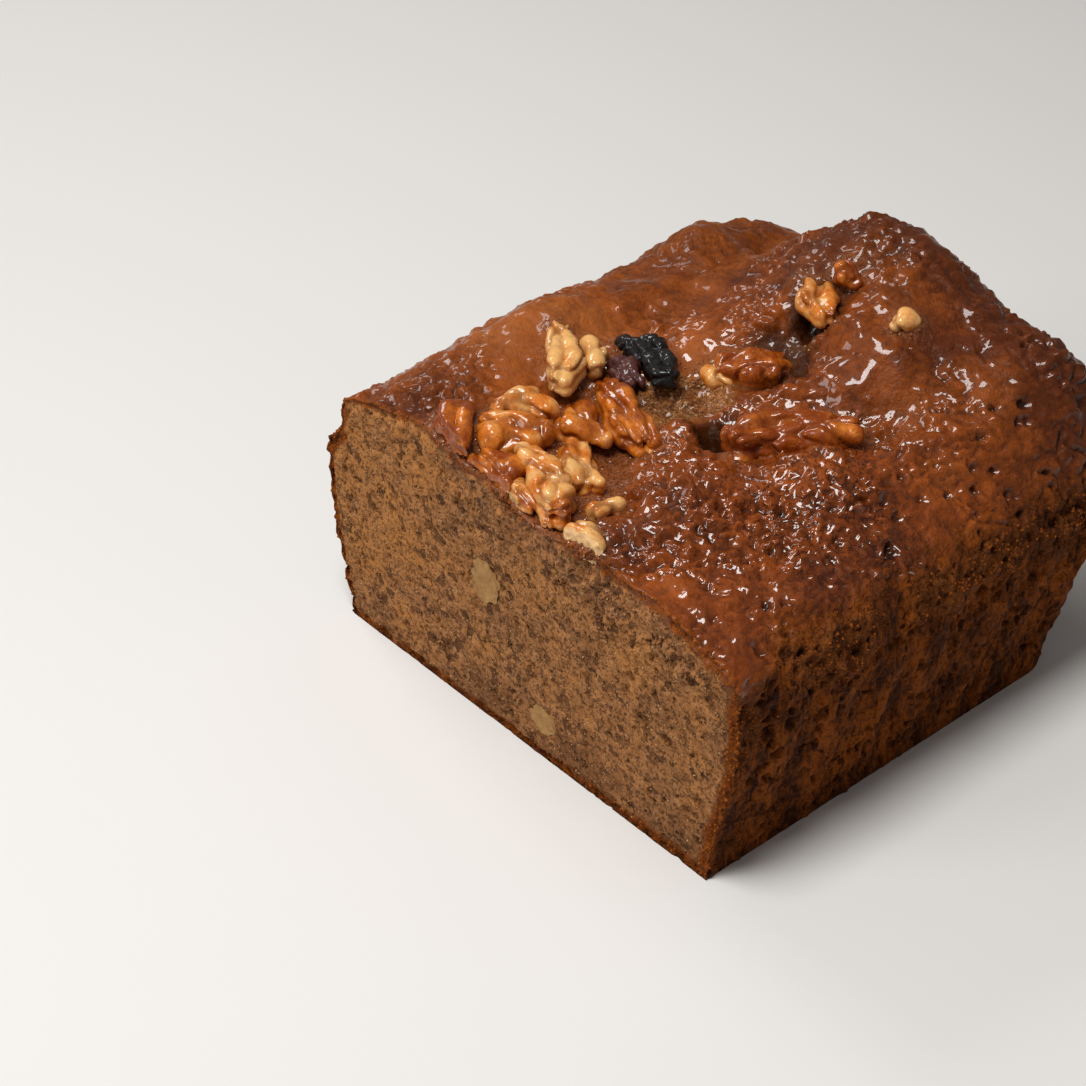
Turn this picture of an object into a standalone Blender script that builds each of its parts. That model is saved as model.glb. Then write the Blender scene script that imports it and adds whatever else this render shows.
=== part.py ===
"""A cut loaf of banana bread with walnuts baked into its cracked top.

The loaf stands on its flat base with the knife cut facing -Y. Metres, +Z up.
The form is worked out in the cut frame, where y = 0 is the plane of the cut and x = 0 is the
middle of the tin, and the whole is centred on its base at the end.
"""

import math
import random

import bmesh
import bpy
from mathutils import Matrix, Vector, noise

# Driving dimensions of the loaf
BASE_LEFT = -0.0570
BASE_RIGHT = 0.0515
BASE_LENGTH = 0.1015
RIM_HEIGHT = 0.0485
RIM_TILT = -0.035
RIM_LENGTH = 0.1160
RIM_LEFT = -0.0575
RIM_RIGHT = 0.0573
BASE_CORNER = 0.0100
RIM_CORNER = 0.0170
CROWN = 0.0095
CROWN_SIDE = 0.0240
CROWN_END = 0.0185

# Left side: its swell, the shoulder pinched under the crust and the lip above
SWELL = 0.0048
SWELL_HEIGHT = 0.030
SHOULDER = 0.0062
SHOULDER_FOOT = 0.037
SHOULDER_HEIGHT = 0.011
LIP = 0.0014
LIP_SPREAD = 0.0025

# Right side: its lean and the torn ledge under the crust
RIGHT_LEAN = 0.0056
RIGHT_LEAN_HEIGHT = 0.036
LEDGE = 0.0012
LEDGE_START = 0.030
LEDGE_HEIGHT = 0.0415
LEDGE_SPREAD = 0.0030

# Far end: its lean, and where it mushrooms over the rim
FAR_LEAN = 0.0055
FAR_LEAN_HEIGHT = 0.014
MUSHROOM_FOOT = 0.018
MUSHROOM_HEIGHT = 0.030

# Grid of the loaf's skin: faces across, along and up
CELLS_ACROSS = 36
CELLS_ALONG = 34
CELLS_UP = 12

# Lumps of the baked top: x, y, rise, spread across, spread along
TOP_LUMPS = [
    (0.0036, 0.0962, 0.0242, 0.0288, 0.0314),
    (0.0442, 0.0986, 0.0120, 0.0150, 0.0200),
    (-0.0452, 0.0875, 0.0070, 0.0112, 0.0084),
    (-0.0340, 0.0970, -0.0060, 0.0065, 0.0100),
    (0.0210, 0.0210, 0.0050, 0.0100, 0.0130),
    (0.0290, 0.0460, 0.0050, 0.0085, 0.0085),
    (0.0020, 0.0380, 0.0050, 0.0055, 0.0052),
    (0.0400, 0.0600, 0.0045, 0.0110, 0.0200),
    (-0.0290, 0.0040, 0.0028, 0.0080, 0.0120),
    (-0.0460, 0.0427, 0.0068, 0.0134, 0.0245),
    (0.0200, 0.0740, 0.0035, 0.0090, 0.0090),
]

# Branches of the crack that opened in the top: x, y, depth, half width
CRACKS = [
    [
        (0.004, -0.002, 0.0030, 0.0070), (0.003, 0.012, 0.0036, 0.0090),
        (-0.006, 0.026, 0.0045, 0.0100), (-0.007, 0.042, 0.0040, 0.0080),
        (-0.004, 0.058, 0.0050, 0.0070), (0.001, 0.067, 0.0060, 0.0060),
        (0.002, 0.078, 0.0060, 0.0055), (0.005, 0.090, 0.0030, 0.0050),
    ],
    [
        (0.005, 0.044, 0.0055, 0.0050), (0.015, 0.051, 0.0050, 0.0065),
        (0.027, 0.062, 0.0045, 0.0060), (0.031, 0.072, 0.0020, 0.0050),
    ],
    [
        (-0.018, 0.008, 0.0015, 0.0090), (-0.014, 0.028, 0.0030, 0.0090),
        (-0.012, 0.040, 0.0030, 0.0090),
    ],
]

# Deep pits where the crack tore open: x, y, depth, radius
PITS = [
    (0.0062, 0.0440, 0.0050, 0.0036),
    (0.0010, 0.0645, 0.0040, 0.0045),
    (0.0010, 0.0760, 0.0040, 0.0035),
]

# Unevenness of the top, folds of the side and grain of the crumb
LUMP_SIZE = 0.0100
LUMP_RISE = 0.0011
CRAG_SIZE = 0.0048
CRAG_RISE = 0.0006
PLEAT_PITCH = 0.0130
PLEAT_DEPTH = 0.0007
PLEAT_FOOT = 0.008
PLEAT_HEAD = 0.012
PLEAT_WANDER = 0.35
PLEAT_NOISE_ALONG = 90.0
PLEAT_NOISE_UP = 40.0
PLEAT_SHIFT = 0.004
CRUMB_RELIEF = 0.00030
CRUMB_GRAIN = 0.004

# Knobs of the toppings, as shares of a piece's width: radius and offset of two rows, radius of
# one row, and how far chance moves them
ROW_RADIUS = 0.29
ROW_OFFSET = 0.23
LONE_RADIUS = 0.45
CHANCE = 0.06

# How much the ends taper, how far in the end knobs sit as a share of their radius, and how far
# one row leads the other as a share of the knobs' spacing
TAPER = 0.55
END_INSET = 0.7
STAGGER = 0.15

# Height of the ball below a high knob, grain of the melt, faces of a large and a small piece
UNDER_KNOB = 0.0016
KNOB_GRAIN = 0.0006
KNOB_EASE = 3
MOST_FACES = 320
FEWEST_FACES = 180
LARGE_LENGTH = 14.0

# What touches keeps this clearance, and corners nearer than this are welded
GAP = 0.00035
TRIM_GAP = 0.00045
WELD = 0.00001
KNIFE_SPACE = 0.3
SHARP_ANGLE = 50.0

# Unevenness of a sliced walnut as a share of its size, and how fine it is
NUT_SWELL = 0.22
NUT_SWELL_GRAIN = 1.6

# Walnut pieces and dried fruit on the top, in millimetres and degrees. at is where a piece lies
# in the cut frame, bend how far its middle bows aside, lift the height of its knobs over the
# crust, rows the number of rows of knobs and knobs the number in a row.
TOPPINGS = {
    "walnut_front_quarter": dict(
        at=(-2.0, 7.0), length=22.5, width=8.0, heading=-25, bend=-1.3, knobs=5, rows=2, lift=4.8,
    ),
    "walnut_under_quarter": dict(
        at=(-3.5, 2.5), length=11.0, width=6.0, heading=-18, bend=1.5, knobs=3, rows=1, lift=1.6,
    ),
    "walnut_left_lobe": dict(
        at=(-18.5, 12.5), length=15.0, width=12.0, heading=24, bend=1.5, knobs=3, rows=2, lift=3.0,
    ),
    "walnut_back_crescent": dict(
        at=(-23.5, 20.5), length=13.0, width=7.5, heading=45, bend=-3.0, knobs=4, rows=1, lift=2.8,
    ),
    "walnut_middle_lobe": dict(
        at=(-4.5, 18.5), length=17.0, width=7.5, heading=-34, bend=1.5, knobs=4, rows=2, lift=3.2,
    ),
    "walnut_cupped_piece": dict(
        at=(-13.5, 27.0), length=12.5, width=8.0, heading=-18, bend=2.5, knobs=3, rows=2, lift=2.4,
    ),
    "walnut_arched_piece": dict(
        at=(-9.5, 34.5), length=24.0, width=7.5, heading=-22, bend=1.2, knobs=5, rows=2, lift=4.0,
    ),
    "walnut_pale_knot": dict(
        at=(-28.5, 34.5), length=21.0, width=7.5, heading=-40, bend=-1.0, knobs=4, rows=2, lift=4.0,
    ),
    "walnut_pale_crumb": dict(
        at=(-26.0, 41.0), length=13.5, width=6.0, heading=-30, bend=-1.0, knobs=3, rows=1, lift=2.4,
    ),
    "walnut_toasted_knot": dict(
        at=(-25.0, 4.5), length=17.5, width=7.5, heading=-44, bend=1.5, knobs=5, rows=2, lift=1.8,
    ),
    "walnut_sunk_piece": dict(
        at=(-11.5, 3.5), length=13.0, width=8.5, heading=-20, bend=-3.0, knobs=3, rows=2, lift=1.0,
    ),
    "walnut_cut_wedge": dict(
        at=(15.0, 2.0), length=10.5, width=7.0, heading=-17, bend=-1.0, knobs=3, rows=1, lift=1.2,
    ),
    "walnut_small_tip": dict(
        at=(10.5, 11.5), length=7.5, width=5.0, heading=80, bend=0.0, knobs=2, rows=1, lift=2.2,
    ),
    "fruit_black": dict(
        at=(-18.5, 49.5), length=18.0, width=8.0, heading=-16, bend=-1.5, knobs=5, rows=2, lift=1.9,
    ),
    "fruit_maroon": dict(
        at=(-20.5, 43.5), length=12.0, width=7.0, heading=-12, bend=0.0, knobs=3, rows=2, lift=1.6,
    ),
    "walnut_rear_crescent": dict(
        at=(-2.0, 63.5), length=16.5, width=8.5, heading=55, bend=2.5, knobs=4, rows=2, lift=3.8,
    ),
    "walnut_rear_hook": dict(
        at=(-1.0, 78.5), length=19.0, width=7.5, heading=-39, bend=1.5, knobs=4, rows=2, lift=3.2,
    ),
    "walnut_long_half": dict(
        at=(18.5, 52.5), length=26.0, width=11.0, heading=53, bend=-2.0, knobs=6, rows=2, lift=5.0,
    ),
    "walnut_sunk_chip": dict(
        at=(-7.0, 56.5), length=9.5, width=5.5, heading=0, bend=0.0, knobs=3, rows=1, lift=0.8,
    ),
    "walnut_far_chip": dict(
        at=(19.5, 81.0), length=7.0, width=5.0, heading=69, bend=-1.5, knobs=3, rows=1, lift=0.9,
    ),
    "walnut_far_lobe": dict(
        at=(1.0, 84.0), length=8.0, width=6.0, heading=-20, bend=1.5, knobs=3, rows=1, lift=1.4,
    ),
}

# Pieces that lie higher press into those under them, so the lower one is trimmed
TRIMMED_BY = {
    "walnut_under_quarter": ["walnut_front_quarter", "walnut_sunk_piece", "walnut_middle_lobe"],
    "walnut_middle_lobe": ["walnut_front_quarter", "walnut_cupped_piece"],
    "walnut_left_lobe": ["walnut_front_quarter", "walnut_toasted_knot"],
    "walnut_sunk_piece": ["walnut_left_lobe", "walnut_front_quarter", "walnut_toasted_knot"],
    "walnut_back_crescent": ["walnut_left_lobe", "walnut_pale_knot", "walnut_toasted_knot"],
    "walnut_cupped_piece": ["walnut_arched_piece", "walnut_back_crescent", "walnut_left_lobe"],
    "walnut_pale_crumb": ["walnut_pale_knot", "walnut_arched_piece", "fruit_maroon"],
    "fruit_maroon": ["walnut_arched_piece", "walnut_pale_knot"],
    "fruit_black": ["fruit_maroon", "walnut_arched_piece", "walnut_pale_crumb"],
    "walnut_small_tip": ["walnut_cut_wedge", "walnut_front_quarter"],
    "walnut_cut_wedge": ["walnut_front_quarter"],
    "walnut_far_lobe": ["walnut_rear_hook"],
    "walnut_sunk_chip": ["walnut_rear_crescent"],
}

# Walnut sliced through by the knife: x, z in the cut, width, height, depth
CUT_WALNUTS = {
    "cut_walnut_upper": (-0.0125, 0.0335, 0.0080, 0.0100, 0.0060),
    "cut_walnut_lower": (0.0045, 0.0090, 0.0070, 0.0060, 0.0050),
}

CRUST = ((0.235, 0.075, 0.018), 0.38)
WALNUT = ((0.620, 0.290, 0.090), 0.36)
CUT_NUT = ((0.680, 0.480, 0.230), 0.55)
BLACK_FRUIT = ((0.018, 0.012, 0.010), 0.30)
MAROON_FRUIT = ((0.090, 0.022, 0.012), 0.30)


def smooth(t):
    """Smooth step of t from 0 to 1."""
    t = min(max(t, 0.0), 1.0)
    return t * t * (3.0 - 2.0 * t)


def bell(offset, spread):
    return math.exp(-((offset / spread) ** 2))


def material(name, look):
    colour, roughness = look
    made = bpy.data.materials.new(name)
    made.use_nodes = True
    shader = made.node_tree.nodes["Principled BSDF"]
    shader.inputs["Base Color"].default_value = (*colour, 1.0)
    shader.inputs["Roughness"].default_value = roughness
    shader.inputs["Metallic"].default_value = 0.0
    made.diffuse_color = (*colour, 1.0)
    return made


def pleats(y, z):
    """Upright folds that a paper liner pressed into the side."""
    fade = smooth(z / PLEAT_FOOT) * smooth((RIM_HEIGHT - z) / PLEAT_HEAD)
    place = Vector((y * PLEAT_NOISE_ALONG, z * PLEAT_NOISE_UP, 3.0))
    wander = PLEAT_WANDER * noise.noise(place)
    return PLEAT_DEPTH * fade * math.sin(2.0 * math.pi * (y / PLEAT_PITCH + wander))


def left_wall(y, z):
    """x of the left side, which swells out and is pinched under the lip of the crust."""
    swell = SWELL * smooth(z / SWELL_HEIGHT)
    shoulder = SHOULDER * smooth((z - SHOULDER_FOOT) / SHOULDER_HEIGHT)
    lip = LIP * bell(z - RIM_HEIGHT, LIP_SPREAD)
    return BASE_LEFT - swell + shoulder - lip - pleats(y, z)


def right_wall(y, z):
    """x of the right side, which leans out, with a torn ledge under the crust."""
    lean = RIGHT_LEAN * smooth(z / RIGHT_LEAN_HEIGHT)
    ledge = LEDGE * smooth(y / LEDGE_START) * bell(z - LEDGE_HEIGHT, LEDGE_SPREAD)
    return BASE_RIGHT + lean + ledge + pleats(y + PLEAT_SHIFT, z)


def far_wall(z):
    """y of the far end, which leans out and mushrooms over the tin's rim."""
    lean = FAR_LEAN * smooth(z / FAR_LEAN_HEIGHT)
    overhang = RIM_LENGTH - BASE_LENGTH - FAR_LEAN
    return BASE_LENGTH + lean + overhang * smooth((z - MUSHROOM_FOOT) / MUSHROOM_HEIGHT)


def rounded_corner(x, y, left, right, far, radius):
    """Moves a point of the rectangle's far corners onto a round corner."""
    side = 1.0 if x > 0.0 else -1.0
    edge = right if x > 0.0 else left
    p = 1.0 - abs(edge - x) / radius
    q = 1.0 - (far - y) / radius
    if p <= 0.0 or q <= 0.0:
        return x, y
    x += side * radius * (p * math.sqrt(1.0 - 0.5 * q * q) - p)
    y += radius * (q * math.sqrt(1.0 - 0.5 * p * p) - q)
    return x, y


def crack_depth(x, y):
    """How far the cracks sink the top at a point."""
    deepest = 0.0
    for branch in CRACKS:
        for near, far in zip(branch, branch[1:]):
            run_x, run_y = far[0] - near[0], far[1] - near[1]
            t = ((x - near[0]) * run_x + (y - near[1]) * run_y) / (run_x ** 2 + run_y ** 2)
            t = min(max(t, 0.0), 1.0)
            middle_x, middle_y, depth, half = (a + (b - a) * t for a, b in zip(near, far))
            away = math.hypot(x - middle_x, y - middle_y)
            deepest = max(deepest, depth * bell(away, half))
    return deepest


def rim_height(x):
    return RIM_HEIGHT + RIM_TILT * x


def top_height(x, y):
    """Height of the baked top, which falls to the rim at the tin's sides and far end."""
    side = max(0.0, 1.0 - min(x - RIM_LEFT, RIM_RIGHT - x) / CROWN_SIDE)
    end = max(0.0, 1.0 - (RIM_LENGTH - y) / CROWN_END)
    rise = math.sqrt(max(0.0, 1.0 - (side ** 3 + end ** 3) ** (2.0 / 3.0)))
    form = CROWN
    for middle_x, middle_y, height, across, along in TOP_LUMPS:
        form += height * bell(x - middle_x, across) * bell(y - middle_y, along)
    form -= crack_depth(x, y)
    for middle_x, middle_y, depth, radius in PITS:
        form -= depth * bell(math.hypot(x - middle_x, y - middle_y), radius)
    place = Vector((x, y, 0.0))
    form += LUMP_RISE * noise.noise(place / LUMP_SIZE)
    form += CRAG_RISE * noise.noise(place / CRAG_SIZE + Vector((7.0, 2.0, 5.0)))
    return rim_height(x) + form * rise


def loaf_point(u, v, w):
    """The unit block's point u across, v along and w up, moved onto the loaf's skin."""
    z = w * rim_height(u * BASE_RIGHT)
    left, right, far = left_wall(v * BASE_LENGTH, z), right_wall(v * BASE_LENGTH, z), far_wall(z)
    x = left + (right - left) * (u + 1.0) / 2.0
    y = v * far
    corner = BASE_CORNER + (RIM_CORNER - BASE_CORNER) * w
    x, y = rounded_corner(x, y, left, right, far, corner)
    if w > 0.9999:
        z = top_height(x, y)
    elif w < 0.0001:
        z = 0.0
    if v < 0.0001 and abs(u) < 0.9999 and 0.0001 < w < 0.9999:
        y = CRUMB_RELIEF * (1.0 + noise.noise(Vector((x, z, 0.0)) / CRUMB_GRAIN))
    return Vector((x, y, z))


def split_along(bm, axis, cuts):
    """Cuts every edge that runs along one axis into equal lengths."""
    running = []
    for edge in bm.edges:
        way = edge.verts[1].co - edge.verts[0].co
        if abs(way[axis]) > 0.9 * way.length:
            running.append(edge)
    bmesh.ops.subdivide_edges(bm, edges=running, cuts=cuts - 1, use_grid_fill=True)


def loaf(parts):
    bm = bmesh.new()
    bmesh.ops.create_cube(bm, size=2.0)
    bmesh.ops.scale(bm, vec=(1.0, 0.5, 0.5), verts=bm.verts)
    bmesh.ops.translate(bm, vec=(0.0, 0.5, 0.5), verts=bm.verts)
    for axis, cells in enumerate((CELLS_ACROSS, CELLS_ALONG, CELLS_UP)):
        split_along(bm, axis, cells)
    for vert in bm.verts:
        vert.co = loaf_point(*vert.co)
    flat = [f for f in bm.faces if all(v.co.z < 1e-6 for v in f.verts)]
    bmesh.ops.dissolve_faces(bm, faces=flat)
    bmesh.ops.recalc_face_normals(bm, faces=bm.faces)
    bmesh.ops.triangulate(bm, faces=bm.faces)
    mesh = bpy.data.meshes.new("loaf")
    bm.to_mesh(mesh)
    bm.free()
    obj = bpy.data.objects.new("loaf", mesh)
    parts.objects.link(obj)
    return obj


def knobs_of(name, spec):
    """The balls that make up a piece: middle and radius. High knobs get one more under them."""
    chance = random.Random(name)
    at_x, at_y, length, width, bend, lift = (
        0.001 * a for a in (*spec["at"], spec["length"], spec["width"], spec["bend"], spec["lift"])
    )
    turned = Matrix.Rotation(math.radians(spec["heading"]), 3, "Z")
    ground = Vector((at_x, at_y, top_height(at_x, at_y)))
    two_rows = spec["rows"] == 2
    radius = width * (ROW_RADIUS if two_rows else LONE_RADIUS)
    reach = length / 2.0 - END_INSET * radius
    for number in range(spec["knobs"]):
        along = 2.0 * number / (spec["knobs"] - 1) - 1.0
        taper = math.sqrt(1.0 - TAPER * along ** 2)
        for side in (-1, 1) if two_rows else (0,):
            stray = [CHANCE * width * chance.uniform(-1.0, 1.0) for _ in range(4)]
            middle = Vector((
                along * reach + side * STAGGER * reach / spec["knobs"] + stray[0],
                side * ROW_OFFSET * width * taper + bend * (along ** 2 - 0.5) + stray[1],
                lift + stray[2],
            ))
            ball = radius * taper + stray[3]
            yield ground + turned @ middle, ball
            if middle.z > UNDER_KNOB:
                middle.z = UNDER_KNOB
                yield ground + turned @ middle, ball


def nut_object(name, spec, collection, grow=0.0):
    """One piece as a melted union of its knobs, or with grow the cutter that clears room."""
    bm = bmesh.new()
    for middle, radius in knobs_of(name.removesuffix("_room"), spec):
        bmesh.ops.create_icosphere(
            bm, subdivisions=2, radius=radius, matrix=Matrix.Translation(middle)
        )
    mesh = bpy.data.meshes.new(name)
    bm.to_mesh(mesh)
    bm.free()
    obj = bpy.data.objects.new(name, mesh)
    collection.objects.link(obj)
    melt = obj.modifiers.new("melt", "REMESH")
    melt.mode = "VOXEL"
    melt.voxel_size = KNOB_GRAIN
    ease = obj.modifiers.new("ease", "SMOOTH")
    ease.iterations = KNOB_EASE
    apply_modifiers(obj)
    faces = MOST_FACES if spec["length"] > LARGE_LENGTH else FEWEST_FACES
    thin = obj.modifiers.new("thin", "DECIMATE")
    thin.ratio = min(1.0, faces / sum(len(p.vertices) - 2 for p in obj.data.polygons))
    apply_modifiers(obj)
    bm = bmesh.new()
    bm.from_mesh(obj.data)
    bm.normal_update()
    for vert, normal in [(v, v.normal.copy()) for v in bm.verts]:
        vert.co += normal * grow
    bm.to_mesh(obj.data)
    bm.free()
    return obj


def apply_modifiers(obj):
    applied = bpy.data.meshes.new_from_object(
        obj.evaluated_get(bpy.context.evaluated_depsgraph_get())
    )
    obj.modifiers.clear()
    obj.data = applied


def subtract(obj, cutter):
    cut = obj.modifiers.new("trim", "BOOLEAN")
    cut.operation = "DIFFERENCE"
    cut.solver = "EXACT"
    cut.object = cutter
    apply_modifiers(obj)


def keep_largest(obj):
    """Drops loose scraps that a trim leaves."""
    bm = bmesh.new()
    bm.from_mesh(obj.data)
    bmesh.ops.remove_doubles(bm, verts=bm.verts, dist=WELD)
    bmesh.ops.dissolve_degenerate(bm, edges=bm.edges, dist=WELD)
    left = set(bm.faces)
    islands = []
    while left:
        island, front = set(), [left.pop()]
        while front:
            face = front.pop()
            island.add(face)
            for edge in face.edges:
                if len(edge.link_faces) != 2:
                    continue
                for other in edge.link_faces:
                    if other in left:
                        left.discard(other)
                        front.append(other)
        islands.append(island)
    islands.sort(key=len, reverse=True)
    for island in islands[1:]:
        bmesh.ops.delete(bm, geom=list(island), context="FACES")
    bmesh.ops.triangulate(bm, faces=bm.faces)
    bm.to_mesh(obj.data)
    bm.free()


def cut_walnut(name, spec, collection, grow=0.0):
    """A walnut piece that lies in the crumb with its sliced face in the cut."""
    x, z, width, height, depth = spec
    own = Vector((x * 900.0, 0.0, 0.0))  # gives each piece its own unevenness
    bm = bmesh.new()
    bmesh.ops.create_uvsphere(bm, u_segments=12, v_segments=8, radius=1.0)
    for vert in bm.verts:
        swell = 1.0 + NUT_SWELL * noise.noise(vert.co * NUT_SWELL_GRAIN + own)
        vert.co = Vector((
            x + vert.co.x * (width / 2.0 * swell + grow),
            vert.co.y * (depth * swell + grow),
            z + vert.co.z * (height / 2.0 * swell + grow),
        ))
    mesh = bpy.data.meshes.new(name)
    bm.to_mesh(mesh)
    bm.free()
    obj = bpy.data.objects.new(name, mesh)
    collection.objects.link(obj)
    return obj


def knife_block(cutters):
    """The space in front of the cut."""
    bm = bmesh.new()
    bmesh.ops.create_cube(bm, size=KNIFE_SPACE)
    middle = (0.0, CRUMB_RELIEF - KNIFE_SPACE / 2.0, 0.0)
    bmesh.ops.translate(bm, vec=middle, verts=bm.verts)
    mesh = bpy.data.meshes.new("knife_block")
    bm.to_mesh(mesh)
    bm.free()
    obj = bpy.data.objects.new("knife_block", mesh)
    cutters.objects.link(obj)
    return obj


def swollen(obj, cutters):
    """The loaf grown by the clearance, which trims the undersides of the toppings."""
    bm = bmesh.new()
    bm.from_mesh(obj.data)
    bm.normal_update()
    for vert, normal in [(v, v.normal.copy()) for v in bm.verts]:
        vert.co += normal * TRIM_GAP
    mesh = bpy.data.meshes.new("loaf_room")
    bm.to_mesh(mesh)
    bm.free()
    copy = bpy.data.objects.new("loaf_room", mesh)
    cutters.objects.link(copy)
    return copy


def add_toppings(bread, parts, cutters):
    room = {n: nut_object(n + "_room", s, cutters, GAP) for n, s in TOPPINGS.items()}
    crust = swollen(bread, cutters)
    knife = knife_block(cutters)
    pieces = []
    for name, spec in TOPPINGS.items():
        piece = nut_object(name, spec, parts)
        for upper in TRIMMED_BY.get(name, []):
            subtract(piece, room[upper])
        subtract(piece, crust)
        if min(v.co.y for v in piece.data.vertices) < CRUMB_RELIEF:
            subtract(piece, knife)
        keep_largest(piece)
        look = {"fruit_black": BLACK_FRUIT, "fruit_maroon": MAROON_FRUIT}.get(name, WALNUT)
        piece.data.materials.clear()
        piece.data.materials.append(material(name, look))
        pieces.append(piece)
    return pieces


def add_cut_walnuts(bread, parts, cutters):
    knife = knife_block(cutters)
    pieces = []
    for name, spec in CUT_WALNUTS.items():
        subtract(bread, cut_walnut(name + "_pocket", spec, cutters, GAP))
        piece = cut_walnut(name, spec, parts)
        subtract(piece, knife)
        keep_largest(piece)
        piece.data.materials.append(material(name, CUT_NUT))
        pieces.append(piece)
    return pieces


def shade(obj):
    obj.data.shade_smooth()
    obj.data.set_sharp_from_angle(angle=math.radians(SHARP_ANGLE))


def centre_on_base(objects):
    corners = [v.co for o in objects for v in o.data.vertices]
    middle_x = (min(c.x for c in corners) + max(c.x for c in corners)) / 2.0
    middle_y = (min(c.y for c in corners) + max(c.y for c in corners)) / 2.0
    for obj in objects:
        obj.data.transform(Matrix.Translation((-middle_x, -middle_y, 0.0)))


def clear_scene():
    for obj in list(bpy.data.objects):
        bpy.data.objects.remove(obj, do_unlink=True)


def main():
    clear_scene()
    parts = bpy.data.collections.new("banana_bread")
    cutters = bpy.data.collections.new("cutters")
    bpy.context.scene.collection.children.link(parts)
    bpy.context.scene.collection.children.link(cutters)
    bread = loaf(parts)
    toppings = add_toppings(bread, parts, cutters)
    cut_nuts = add_cut_walnuts(bread, parts, cutters)
    keep_largest(bread)
    bread.data.materials.clear()
    bread.data.materials.append(material("loaf", CRUST))
    for cutter in list(cutters.objects):
        bpy.data.objects.remove(cutter, do_unlink=True)
    bpy.data.collections.remove(cutters)
    everything = [bread, *toppings, *cut_nuts]
    centre_on_base(everything)
    for obj in everything:
        shade(obj)


main()
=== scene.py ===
import math
import random
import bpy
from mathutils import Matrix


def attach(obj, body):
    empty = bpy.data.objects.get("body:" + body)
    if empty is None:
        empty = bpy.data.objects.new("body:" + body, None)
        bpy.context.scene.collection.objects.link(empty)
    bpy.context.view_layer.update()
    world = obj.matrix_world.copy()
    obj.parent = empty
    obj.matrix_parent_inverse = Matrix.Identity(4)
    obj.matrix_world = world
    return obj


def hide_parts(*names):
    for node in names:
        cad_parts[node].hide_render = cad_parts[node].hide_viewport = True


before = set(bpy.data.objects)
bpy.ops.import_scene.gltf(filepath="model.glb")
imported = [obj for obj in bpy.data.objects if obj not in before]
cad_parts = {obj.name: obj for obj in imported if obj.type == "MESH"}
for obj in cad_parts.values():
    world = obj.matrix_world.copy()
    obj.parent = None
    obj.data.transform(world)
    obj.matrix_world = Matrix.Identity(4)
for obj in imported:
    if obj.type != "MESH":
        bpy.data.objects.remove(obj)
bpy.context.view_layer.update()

from types import SimpleNamespace

import bmesh
import bpy
import numpy as np
from mathutils import Matrix, Vector, noise

print("frame loaded:", len(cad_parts), "nodes")


# Numbers and noise for whole arrays of points

def smooth(t):
    t = np.clip(t, 0.0, 1.0)
    return t * t * (3.0 - 2.0 * t)


def bell(offset, spread):
    return np.exp(-((offset / spread) ** 2))


def stack(*columns):
    return np.stack(np.broadcast_arrays(*columns), axis=1).astype(float)


def formNoise(points):  # the same noise that gives the CAD loaf its lumps
    return np.array([noise.noise(Vector(p)) for p in points])


def chanceOf(cells, seed):  # an even random number from 0 to 1 for each whole-number cell
    mixed = cells[:, 0] * 73856093 ^ cells[:, 1] * 19349663 ^ cells[:, 2] * 83492791 ^ seed * 40503
    mixed = (mixed ^ (mixed >> 13)) * 1274126177 & 0xFFFFFFFF
    mixed = (mixed ^ (mixed >> 15)) * 668265263 & 0xFFFFFFFF
    return (mixed ^ (mixed >> 16)) / 0xFFFFFFFF


def waves(points, size, seed):  # smooth noise from about -1 to 1, with waves of that size
    scaled = points / size
    cell = np.floor(scaled).astype(np.int64)
    part = scaled - cell
    ease = part ** 3 * (part * (part * 6.0 - 15.0) + 10.0)
    total = np.zeros(len(points))
    for corner in np.ndindex(2, 2, 2):
        corner = np.array(corner)
        lean = stack(*(chanceOf(cell + corner, seed + k) for k in range(3))) * 2.0 - 1.0
        share = np.prod(np.where(corner, ease, 1.0 - ease), axis=1)
        total += share * np.sum(lean * (part - corner), axis=1)
    return total * 1.7


def hollows(points, size, share, seed):  # 0, rising to 1 in the middle of scattered bubbles
    scaled = points / size
    cell = np.floor(scaled).astype(np.int64)
    deepest = np.zeros(len(points))
    for step in np.ndindex(3, 3, 3):
        near = cell + np.array(step) - 1
        middle = near + stack(*(chanceOf(near, seed + k) for k in range(3)))
        radius = 0.25 + 0.35 * chanceOf(near, seed + 3)
        away = np.linalg.norm(scaled - middle, axis=1) / radius
        there = chanceOf(near, seed + 4) < share
        deepest = np.maximum(deepest, there * np.clip(1.0 - away ** 2, 0.0, 1.0))
    return deepest


# Node trees

def addNode(tree, kind, inputs=None, **settings):
    node = tree.nodes.new(kind)
    for key, value in settings.items():
        setattr(node, key, value)
    for key, value in (inputs or {}).items():
        if isinstance(value, bpy.types.NodeSocket):
            tree.links.new(value, node.inputs[key])
        else:
            node.inputs[key].default_value = value
    return node


def calc(tree, operation, *values, clamp=False):
    inputs = dict(enumerate(values))
    return addNode(tree, "ShaderNodeMath", inputs, operation=operation, use_clamp=clamp).outputs[0]


def tint(tree, factor, first, second, blend="MIX"):
    inputs = {0: factor, 6: first, 7: second}
    made = addNode(tree, "ShaderNodeMix", inputs, data_type="RGBA", blend_type=blend)
    return made.outputs[2]


def fade(tree, value, low, high, start=0.0, end=1.0):
    inputs = {"Value": value, 1: low, 2: high, 3: start, 4: end}
    return addNode(tree, "ShaderNodeMapRange", inputs).outputs[0]


def cloudNoise(tree, place, scale, detail):
    inputs = {"Vector": place, "Scale": scale, "Detail": detail}
    return addNode(tree, "ShaderNodeTexNoise", inputs).outputs


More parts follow.
